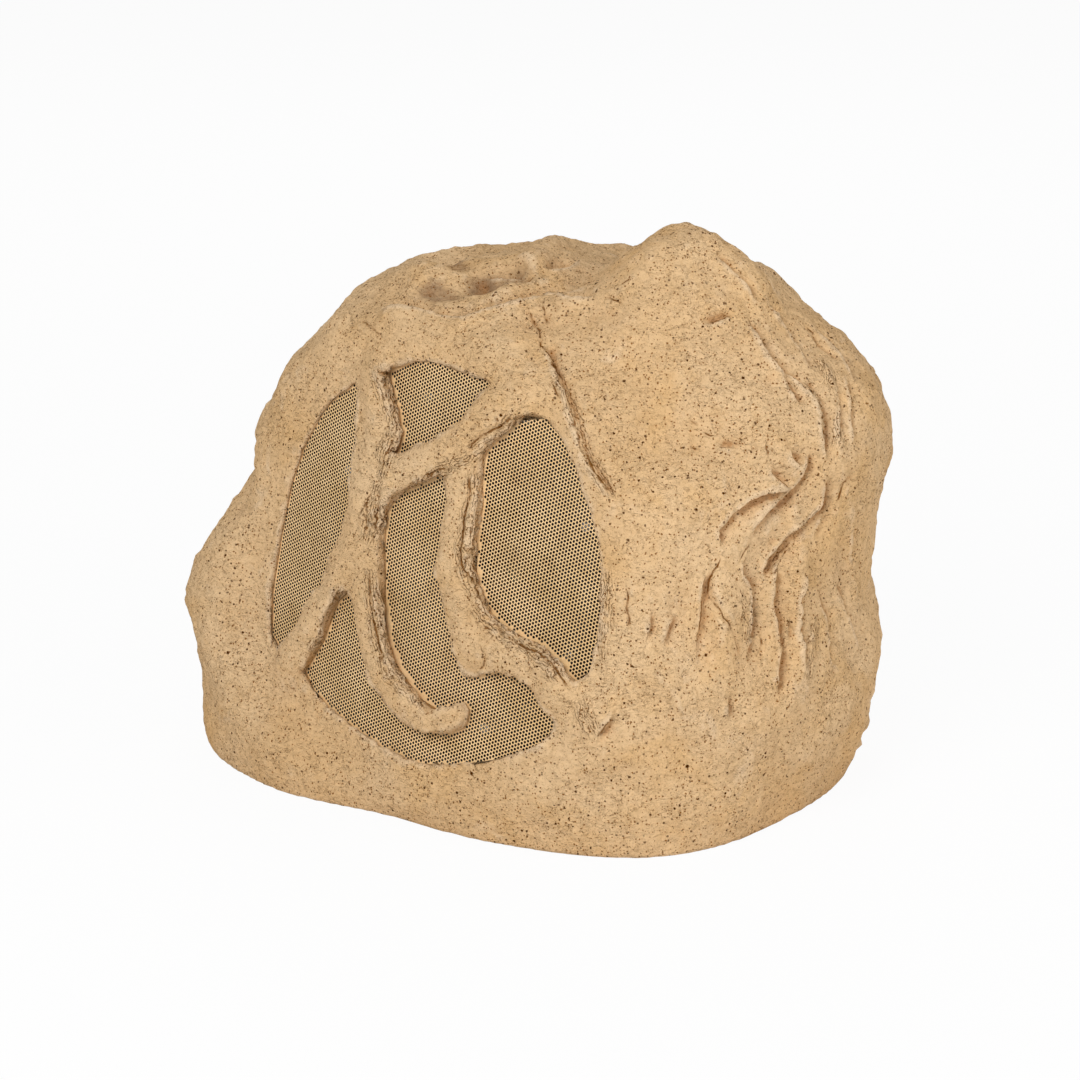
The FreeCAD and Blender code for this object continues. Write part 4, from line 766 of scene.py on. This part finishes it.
def perforatedSheet():
    place = faceFrame()
    outward = place.to_3x3() @ Vector((0.0, 0.0, 1.0))
    blankTree = meshTree(nodes["grille"].data)
    stoneTree = meshTree(rock.data)
    pitch = sheetSet["pitch"]
    work = bmesh.new()
    bmesh.ops.create_circle(work, cap_ends=True, segments=6, radius=pitch / math.sqrt(3.0))
    # one cell, a row, a pair of rows and then the sheet, each doubled until it reaches across
    rowGap = pitch * math.sqrt(3.0)
    steps = [(pitch * 2 ** k, 0.0) for k in range(sheetSet["rowDoublings"])] + [(pitch / 2, rowGap / 2)]
    steps += [(0.0, rowGap * 2 ** k) for k in range(sheetSet["sheetDoublings"])]
    for across, up in steps:
        copy = bmesh.ops.duplicate(work, geom=work.verts[:] + work.edges[:] + work.faces[:])["geom"]
        fresh = [v for v in copy if isinstance(v, bmesh.types.BMVert)]
        bmesh.ops.translate(work, verts=fresh, vec=Vector((across, up, 0.0)))
    half = (pitch * 2 ** sheetSet["rowDoublings"] / 2, rowGap * 2 ** sheetSet["sheetDoublings"] / 2)
    bmesh.ops.translate(work, verts=work.verts, vec=Vector((-half[0], -half[1], 0.0)))
    turn = Matrix.Rotation(math.radians(sheetSet["rowTurn"]), 3, "Z")
    bmesh.ops.rotate(work, verts=work.verts, matrix=turn)

    def onSheet(p, level):
        return place @ Vector((p.x, p.y, level - p.x * p.x / (2 * faceSet["bow"])))

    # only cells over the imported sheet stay
    spare = []
    for cell in work.faces:
        above = onSheet(cell.calc_center_median(), sheetSet["look"])
        if blankTree.ray_cast(above, -outward, sheetSet["reach"])[0] is None:
            spare.append(cell)
    bmesh.ops.delete(work, geom=spare, context="FACES")
    bmesh.ops.remove_doubles(work, verts=work.verts, dist=pitch * sheetSet["weld"])
    openCells = set()
    for cell in work.faces:
        p = onSheet(cell.calc_center_median(), -sheetSet["drop"] + sheetSet["clear"])
        if stoneTree.ray_cast(p, outward, sheetSet["reach"])[0] is None:
            openCells.add(cell)
    # the web round the open cells, then the holes
    webEdges = [e for e in work.edges if any(f in openCells for f in e.link_faces)]
    for cell in openCells:
        cell.material_index = 1
    bmesh.ops.bevel(work, geom=webEdges, offset=sheetSet["web"] / 2, offset_type="OFFSET", segments=1,
                    profile=0.5, affect="EDGES", material=-1)
    holes = [f for f in work.faces if f.material_index == 1 and len(f.verts) == 6]
    bmesh.ops.delete(work, geom=holes, context="FACES_ONLY")
    # the left and the right half are pieces of their own, to keep each light
    halves = []
    for name, keepRight in (("sheetLeft", False), ("sheetRight", True)):
        half = work.copy()
        away = [f for f in half.faces if (f.calc_center_median().x > sheetSet["split"]) != keepRight]
        bmesh.ops.delete(half, geom=away, context="FACES")
        for v in half.verts:
            v.co = onSheet(v.co, -sheetSet["drop"])
        half.normal_update()
        bmesh.ops.solidify(half, geom=half.faces[:], thickness=sheetSet["thick"])
        half.normal_update()
        # the holes' walls take the second finish, painted dark as shade inside the holes
        for f in half.faces:
            f.material_index = int(abs(f.normal.dot(outward)) < sheetSet["wallTurn"])
        halves.append(newPiece(name, meshFrom(half, name)))
        print(name, "has", sum(len(f.vertices) - 2 for f in halves[-1].data.polygons), "triangles")
    work.free()
    print("sheet with", len(openCells), "holes")
    return halves


def sheetPaint(name, shade):
    look = Finish(name)
    broad = look.cloud(30.0, 4.0, 0.6)
    fine = look.cloud(900.0, 2.0, 0.6)
    pale, dull, dust = [tuple(s * c for s, c in zip(shade, colour)) for colour in sheetLook]
    colour = look.blend(look.fade(broad, 0.35, 0.7), pale, dull)
    colour = look.tint(colour, fine, 0.5, 0.8, 0.35, dust)
    colour = look.tint(colour, look.cloud(46.0, 4.0, 0.6), 0.52, 0.72, 0.22, dust)
    look.relief(fine, 0.0003, 0.4)
    return look.finish({"Base Color": colour, "Roughness": look.fade(broad, 0.3, 0.7, 0.7, 0.85),
                        "Specular IOR Level": 0.0})


sheetFinish = sheetPaint("sheetPaintFinish", (1.0, 1.0, 1.0))
# the sheet's paint darkened nearly to black is painted shade on the holes' walls
holeShadeFinish = sheetPaint("holeWallShadeFinish", (0.06, 0.03, 0.008))
for half in perforatedSheet():
    half.data.materials.append(sheetFinish)
    half.data.materials.append(holeShadeFinish)
    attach(half, "boulder")
    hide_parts("grille")

# finishes of the pieces that stay as packed
faceTurn = (math.radians(-(90.0 - faceSet["lean"])), 0.0, 0.0)   # turns the face's own axis upright


darkShine = 0.2   # the dark pieces lie behind the holes and show hardly any glare
waveCycle = 0.314   # a wave texture's scale for one band in a metre


def pebbled(name, dark, pale, gloss):
    # moulded plastic with a pebbled skin, rubbed paler here and there
    look = Finish(name)
    pebble = look.cells(1500.0)
    rub = look.cloud(45.0, 5.0, 0.65)
    colour = look.blend(look.fade(rub, 0.45, 0.75), dark, pale)
    colour = look.blend(look.fade(pebble, 0.2, 0.6, 0.25, 0.0), colour, pale)
    look.relief(look.fade(pebble, 0.0, 0.6, 1.0, 0.0) + rub * 0.3, 0.00012, 0.7)
    return look.finish({"Base Color": colour, "Roughness": look.fade(rub, 0.3, 0.7, gloss, gloss + 0.15),
                        "Specular IOR Level": darkShine})


def closedFoam():
    look = Finish("closedFoamFinish")
    bubbles = look.cells(900.0)
    broad = look.cloud(60.0, 4.0, 0.6)
    colour = look.blend(look.fade(bubbles, 0.1, 0.55), (0.018, 0.017, 0.016), (0.055, 0.052, 0.05))
    colour = look.tint(colour, broad, 0.45, 0.8, 0.4, (0.09, 0.08, 0.07))
    look.relief(bubbles, 0.0004, 0.8)
    return look.finish({"Base Color": colour, "Roughness": look.fade(broad, 0.3, 0.7, 0.85, 0.97)})


def paintedBoard():
    # pressed fibre board, rolled black on the side that shows through the sheet
    look = Finish("paintedBoardFinish")
    outward = faceFrame().to_3x3() @ Vector((0.0, 0.0, 1.0))
    front = max(outward.dot(v.co) for v in nodes["baffle"].data.vertices)
    level = look.node("VectorMath", {"operation": "DOT_PRODUCT"}, {0: look.place, 1: tuple(outward)}, "Value")
    fibres = look.cloud(260.0, 5.0, 0.7, 1.5, look.stretched((1.0, 0.25, 1.0), (0.0, 0.0, 0.5)))
    chips = look.cells(420.0)
    colour = look.blend(look.fade(fibres, 0.3, 0.7), (0.26, 0.16, 0.085), (0.46, 0.32, 0.19))
    colour = look.blend(look.fade(chips, 0.05, 0.3, 0.5, 0.0), colour, (0.17, 0.10, 0.05))
    roller = look.cloud(700.0, 3.0, 0.6)
    paint = look.blend(look.fade(roller, 0.35, 0.7), (0.012, 0.008, 0.005), (0.03, 0.02, 0.012))
    painted = look.fade(level + (fibres - 0.5) * 0.0008, front - 0.002, front - 0.0012)
    colour = look.blend(painted, colour, paint)
    look.relief(fibres * 0.6 + roller * 0.4, 0.0004, 0.6)
    return look.finish({"Base Color": colour, "Roughness": look.fade(fibres, 0.3, 0.7, 0.75, 0.9),
                        "Specular IOR Level": darkShine})


def drawnSteel(name, dark, pale, turn):
    # bright steel with the marks of the die or the lathe
    look = Finish(name)
    marks = look.cloud(500.0, 4.0, 0.65, 0.0, look.stretched((1.0, 1.0, 0.06), turn))
    haze = look.cloud(90.0, 4.0, 0.6)
    spots = look.fade(look.cloud(380.0, 4.0, 0.7), 0.62, 0.78)
    colour = look.blend(look.fade(marks, 0.3, 0.7), dark, pale)
    colour = look.tint(colour, haze, 0.5, 0.8, 0.35, (0.36, 0.31, 0.24))
    colour = look.blend(spots * 0.3, colour, (0.22, 0.14, 0.08))
    look.relief(marks, 0.00006, 0.6)
    return look.finish({"Base Color": colour, "Metallic": look.fade(spots, 0.0, 1.0, 1.0, 0.6),
                        "Roughness": look.fade(marks, 0.25, 0.75, 0.28, 0.46)})


def wrinklePaint():
    look = Finish("wrinklePaintFinish")
    wrinkle = look.cloud(1100.0, 3.0, 0.55, 1.2)
    broad = look.cloud(70.0, 4.0, 0.6)
    colour = look.blend(look.fade(wrinkle, 0.35, 0.65), (0.02, 0.018, 0.017), (0.05, 0.046, 0.043))
    colour = look.tint(colour, broad, 0.55, 0.85, 0.35, (0.09, 0.08, 0.07))
    look.relief(wrinkle, 0.0002, 0.8)
    return look.finish({"Base Color": colour, "Roughness": look.fade(wrinkle, 0.3, 0.7, 0.4, 0.62),
                        "Specular IOR Level": darkShine})


def dullRubber():
    look = Finish("dullRubberFinish")
    bloom = look.cloud(55.0, 5.0, 0.65)
    skin = look.cloud(1600.0, 2.0, 0.5)
    colour = look.blend(look.fade(bloom, 0.42, 0.8), (0.011, 0.01, 0.01), (0.045, 0.04, 0.036))
    look.relief(skin + bloom * 0.4, 0.00008, 0.6)
    return look.finish({"Base Color": colour, "Roughness": look.fade(bloom, 0.35, 0.75, 0.55, 0.8),
                        "Specular IOR Level": darkShine})


def fleckedCone():
    # filled plastic with pale flecks, and rings left by the mould
    look = Finish("fleckedConeFinish")
    flecks = speckle(look, 900.0, 0.8, 0.4, look.crooked(700.0, 0.001))
    rings = look.cloud(900.0, 2.0, 0.5, 0.0, look.stretched((0.05, 0.05, 1.0), faceTurn))
    broad = look.cloud(40.0, 3.0, 0.6)
    colour = look.blend(look.fade(broad, 0.35, 0.7), (0.016, 0.014, 0.013), (0.032, 0.029, 0.027))
    colour = look.blend(flecks * 0.35, colour, (0.16, 0.15, 0.14))
    look.relief(rings + flecks * 0.2, 0.00012, 0.6)
    return look.finish({"Base Color": colour, "Roughness": look.fade(rings, 0.3, 0.7, 0.42, 0.6),
                        "Specular IOR Level": darkShine})


def wound(name, turn, pitch):
    # lacquered wire, turn beside turn
    look = Finish(name)
    bands = look.bands("Z", look.stretched((1.0, 1.0, 1.0), turn), waveCycle / pitch, 0.3, 1.0)
    drift = look.cloud(140.0, 4.0, 0.6)
    colour = look.blend(look.fade(bands, 0.1, 0.7), (0.20, 0.06, 0.02), (0.72, 0.30, 0.12))
    colour = look.tint(colour, drift, 0.5, 0.8, 0.5, (0.42, 0.15, 0.05))
    look.relief(bands, pitch * 0.4, 0.8)
    return look.finish({"Base Color": colour, "Metallic": look.fade(bands, 0.0, 0.5, 0.5, 0.95),
                        "Roughness": look.fade(drift, 0.3, 0.7, 0.24, 0.4), "Coat Weight": 0.3})


def woven(name, dark, pale, pitch, rough):
    # plain cloth: the two sets of threads pass over each other
    look = Finish(name)
    flat = look.stretched((1.0, 1.0, 1.0), faceTurn)
    warp = look.bands("X", flat, waveCycle / pitch, 0.4)
    weft = look.bands("Y", flat, waveCycle / pitch, 0.4)
    thread = warp * (1.0 - weft) + weft * (1.0 - warp)
    broad = look.cloud(80.0, 4.0, 0.6)
    colour = look.blend(look.fade(thread, 0.2, 0.8), dark, pale)
    colour = look.tint(colour, broad, 0.45, 0.8, 0.5, dark)
    look.relief(thread, pitch * 0.3, 0.8)
    return look.finish({"Base Color": colour, "Roughness": look.fade(broad, 0.3, 0.7, rough, rough + 0.12)})


def sinteredFerrite():
    look = Finish("sinteredFerriteFinish")
    grit = look.cloud(1300.0, 3.0, 0.6)
    scuffs = look.cloud(120.0, 5.0, 0.7, 1.0)
    colour = look.blend(look.fade(grit, 0.35, 0.7), (0.035, 0.034, 0.035), (0.085, 0.083, 0.085))
    colour = look.tint(colour, scuffs, 0.58, 0.8, 0.5, (0.17, 0.165, 0.165))
    look.relief(grit, 0.0001, 0.7)
    return look.finish({"Base Color": colour, "Roughness": look.fade(scuffs, 0.3, 0.7, 0.5, 0.72)})


def greenBoard():
    # glass weave under green lacquer, with copper runs showing paler
    look = Finish("greenBoardFinish")
    across = look.bands("X", look.place, 400.0)
    upright = look.bands("Z", look.place, 400.0)
    front = look.stretched((1.0, 1.0, 1.0), (math.pi / 2, 0.0, 0.0))
    white = (1.0, 1.0, 1.0)
    runs = look.node("TexBrick", {"offset": 0.5}, {"Vector": front, "Color1": white, "Color2": white,
                                                    "Mortar": (0.0, 0.0, 0.0), "Scale": 60.0,
                                                    "Mortar Size": 0.06, "Mortar Smooth": 0.3}, "Fac")
    haze = look.cloud(120.0, 4.0, 0.6)
    colour = look.blend(look.fade(across + upright, 0.4, 1.6), (0.018, 0.085, 0.04), (0.035, 0.14, 0.07))
    colour = look.tint(colour, runs, 0.3, 0.8, 0.7, (0.08, 0.24, 0.10))
    colour = look.tint(colour, haze, 0.55, 0.8, 0.3, (0.10, 0.12, 0.07))
    look.relief(look.fade(runs, 0.2, 0.8) + (across + upright) * 0.1, 0.00008, 0.8)
    return look.finish({"Base Color": colour, "Roughness": look.fade(haze, 0.3, 0.7, 0.25, 0.4),
                        "Coat Weight": 0.3})


def shrunkSleeve():
    look = Finish("shrunkSleeveFinish")
    ripple = look.cloud(160.0, 3.0, 0.55, 0.6, look.stretched((1.0, 1.0, 0.3)))
    dust = look.cloud(900.0, 3.0, 0.65)
    colour = look.blend(look.fade(ripple, 0.35, 0.7), (0.03, 0.045, 0.17), (0.055, 0.08, 0.26))
    colour = look.tint(colour, dust, 0.6, 0.85, 0.3, (0.20, 0.21, 0.27))
    look.relief(ripple, 0.0003, 0.5)
    return look.finish({"Base Color": colour, "Roughness": look.fade(dust, 0.3, 0.7, 0.2, 0.36),
                        "Coat Weight": 0.4})


def firedCeramic():
    look = Finish("firedCeramicFinish")
    grit = look.cloud(1200.0, 3.0, 0.6)
    marks = speckle(look, 700.0, 0.85, 0.3, look.place)
    colour = look.blend(look.fade(grit, 0.35, 0.7), (0.60, 0.58, 0.53), (0.76, 0.74, 0.69))
    colour = look.blend(marks * 0.6, colour, (0.28, 0.25, 0.21))
    look.relief(grit, 0.00015, 0.6)
    return look.finish({"Base Color": colour, "Roughness": look.fade(grit, 0.3, 0.7, 0.7, 0.9)})


finishes = {
    "black_plastic": pebbled("blackPlasticFinish", (0.016, 0.0145, 0.0135), (0.045, 0.042, 0.04), 0.5),
    "gland_plastic": pebbled("glandPlasticFinish", (0.03, 0.028, 0.027), (0.07, 0.067, 0.064), 0.4),
    "foam": closedFoam(),
    "board": paintedBoard(),
    "screw_steel": drawnSteel("screwSteelFinish", (0.40, 0.39, 0.38), (0.62, 0.61, 0.60), (0.0, 0.0, 0.0)),
    "plate_steel": drawnSteel("plateSteelFinish", (0.40, 0.37, 0.29), (0.60, 0.56, 0.45), faceTurn),
    "basket_paint": wrinklePaint(),
    "surround_rubber": dullRubber(),
    "cone_plastic": fleckedCone(),
    "copper": wound("woundCopperFinish", faceTurn, 0.0004),
    "spider_cloth": woven("spiderClothFinish", (0.30, 0.17, 0.05), (0.66, 0.45, 0.19), 0.0007, 0.75),
    "dome_silk": woven("domeSilkFinish", (0.012, 0.011, 0.011), (0.05, 0.047, 0.046), 0.0004, 0.55),
    "ferrite": sinteredFerrite(),
    "circuit_board": greenBoard(),
    "capacitor_sleeve": shrunkSleeve(),
    "resistor_ceramic": firedCeramic(),
}
for part in frame["record"]["subparts"]:
    if part["material_slot"] in finishes:
        for slot in nodes[part["node"]].material_slots:
            slot.material = finishes[part["material_slot"]]
print("finishes given to the packed pieces:", len(finishes))

# the surround and the spider bend as the cone slides; each is cut into sectors
suspensionSet = {"sectors": 12, "heldRim": 0.006, "heldMiddle": 0.003, "sharp": 35.0, "weld": 1e-6,
                 "cut": 1e-7,
                 "rings": [("woofer_surround", "surroundSector", "surround_rubber"),
                           ("woofer_spider", "spiderSector", "spider_cloth")]}


def ringSector(ring, name, middle, sides):
    work = bmesh.new()
    work.from_mesh(ring)
    bmesh.ops.remove_doubles(work, verts=work.verts, dist=suspensionSet["weld"])
    for side in sides:
        everything = work.verts[:] + work.edges[:] + work.faces[:]
        bmesh.ops.bisect_plane(work, geom=everything, dist=suspensionSet["cut"], plane_co=middle,
                               plane_no=side, clear_outer=True)
    cut = [e for e in work.edges if e.is_boundary]
    bmesh.ops.holes_fill(work, edges=cut)
    bmesh.ops.recalc_face_normals(work, faces=work.faces)
    mesh = meshFrom(work, name)
    for face in mesh.polygons:
        face.use_smooth = True
    mesh.set_sharp_from_angle(angle=math.radians(suspensionSet["sharp"]))
    return newPiece(name, mesh)


def bendingRing(node, name, slot):
    ring = nodes[node].data
    place = faceFrame().to_3x3()
    local = points(ring) @ np.array(place)
    middle = (local.min(axis=0) + local.max(axis=0)) / 2
    middle = place @ Vector(middle)
    half = math.pi / suspensionSet["sectors"]
    for k in range(suspensionSet["sectors"]):
        turn = 2 * half * k
        sides = [place @ Vector((math.sin(turn - half), -math.cos(turn - half), 0.0)),
                 place @ Vector((-math.sin(turn + half), math.cos(turn + half), 0.0))]
        sector = ringSector(ring, name + str(k + 1), middle, sides)
        sector.data.materials.append(finishes[slot])
        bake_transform(sector)
        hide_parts(node)
    print(name, "cut into", suspensionSet["sectors"], "sectors")


for ringNode, ringName, ringSlot in suspensionSet["rings"]:
    bendingRing(ringNode, ringName, ringSlot)

# floor, light and background
studioSet = {"floorReach": 3.0, "floorColour": (0.86, 0.86, 0.86), "fill": 0.36, "whiteShare": 0.94,
             "lampAim": (0.0, 0.0, 0.15),
             "lamps": [("keyLight", 26.0, 1.0, (0.5, -1.72, 1.4)),
                       ("sideLight", 13.5, 1.0, (1.95, 0.35, 0.8)),
                       ("backLight", 9.0, 1.0, (-1.3, 1.5, 1.3))]}


def backgroundShare(look):
    # the plain white that the camera, mirrors and glass see
    rays = ("Is Camera Ray", "Is Glossy Ray", "Is Transmission Ray")
    seen, mirrored, through = [look.node("LightPath", out=ray) for ray in rays]
    return seen + mirrored + through


def layFloor():
    work = bmesh.new()
    bmesh.ops.create_grid(work, x_segments=2, y_segments=2, size=studioSet["floorReach"])
    floor = newPiece("studioFloor", meshFrom(work, "studioFloor"))
    look = Finish("floorFinish")
    look.finish({"Base Color": studioSet["floorColour"], "Roughness": 0.9})
    white = look.node("Emission", None, {"Color": (1.0, 1.0, 1.0), "Strength": 1.0})
    share = look.fade(backgroundShare(look), 0.0, 1.0, 0.0, studioSet["whiteShare"])
    mixed = look.node("MixShader", None, {0: share, 1: Wire(look.tree, look.shader.outputs[0]), 2: white})
    look.put(look.output.inputs[0], mixed)
    floor.data.materials.append(look.material)


def lightStudio():
    world = bpy.data.worlds.new("studioWorld")
    world.use_nodes = True
    sky = Nodes(world.node_tree)
    strength = (backgroundShare(sky) > 0.5) * (1.0 - studioSet["fill"]) + studioSet["fill"]
    white = sky.node("Background", None, {"Color": (1.0, 1.0, 1.0), "Strength": strength})
    output = sky.tree.nodes.new("ShaderNodeOutputWorld")
    sky.put(output.inputs["Surface"], white)
    scene.world = world
    for name, power, size, place in studioSet["lamps"]:
        lamp = bpy.data.lights.new(name, "AREA")
        lamp.energy = power
        lamp.size = size
        holder = newPiece(name, lamp)
        holder.location = place
        away = holder.location - Vector(studioSet["lampAim"])
        holder.rotation_euler = away.to_track_quat("Z", "Y").to_euler()


layFloor()
lightStudio()
scene.view_settings.view_transform = "Standard"
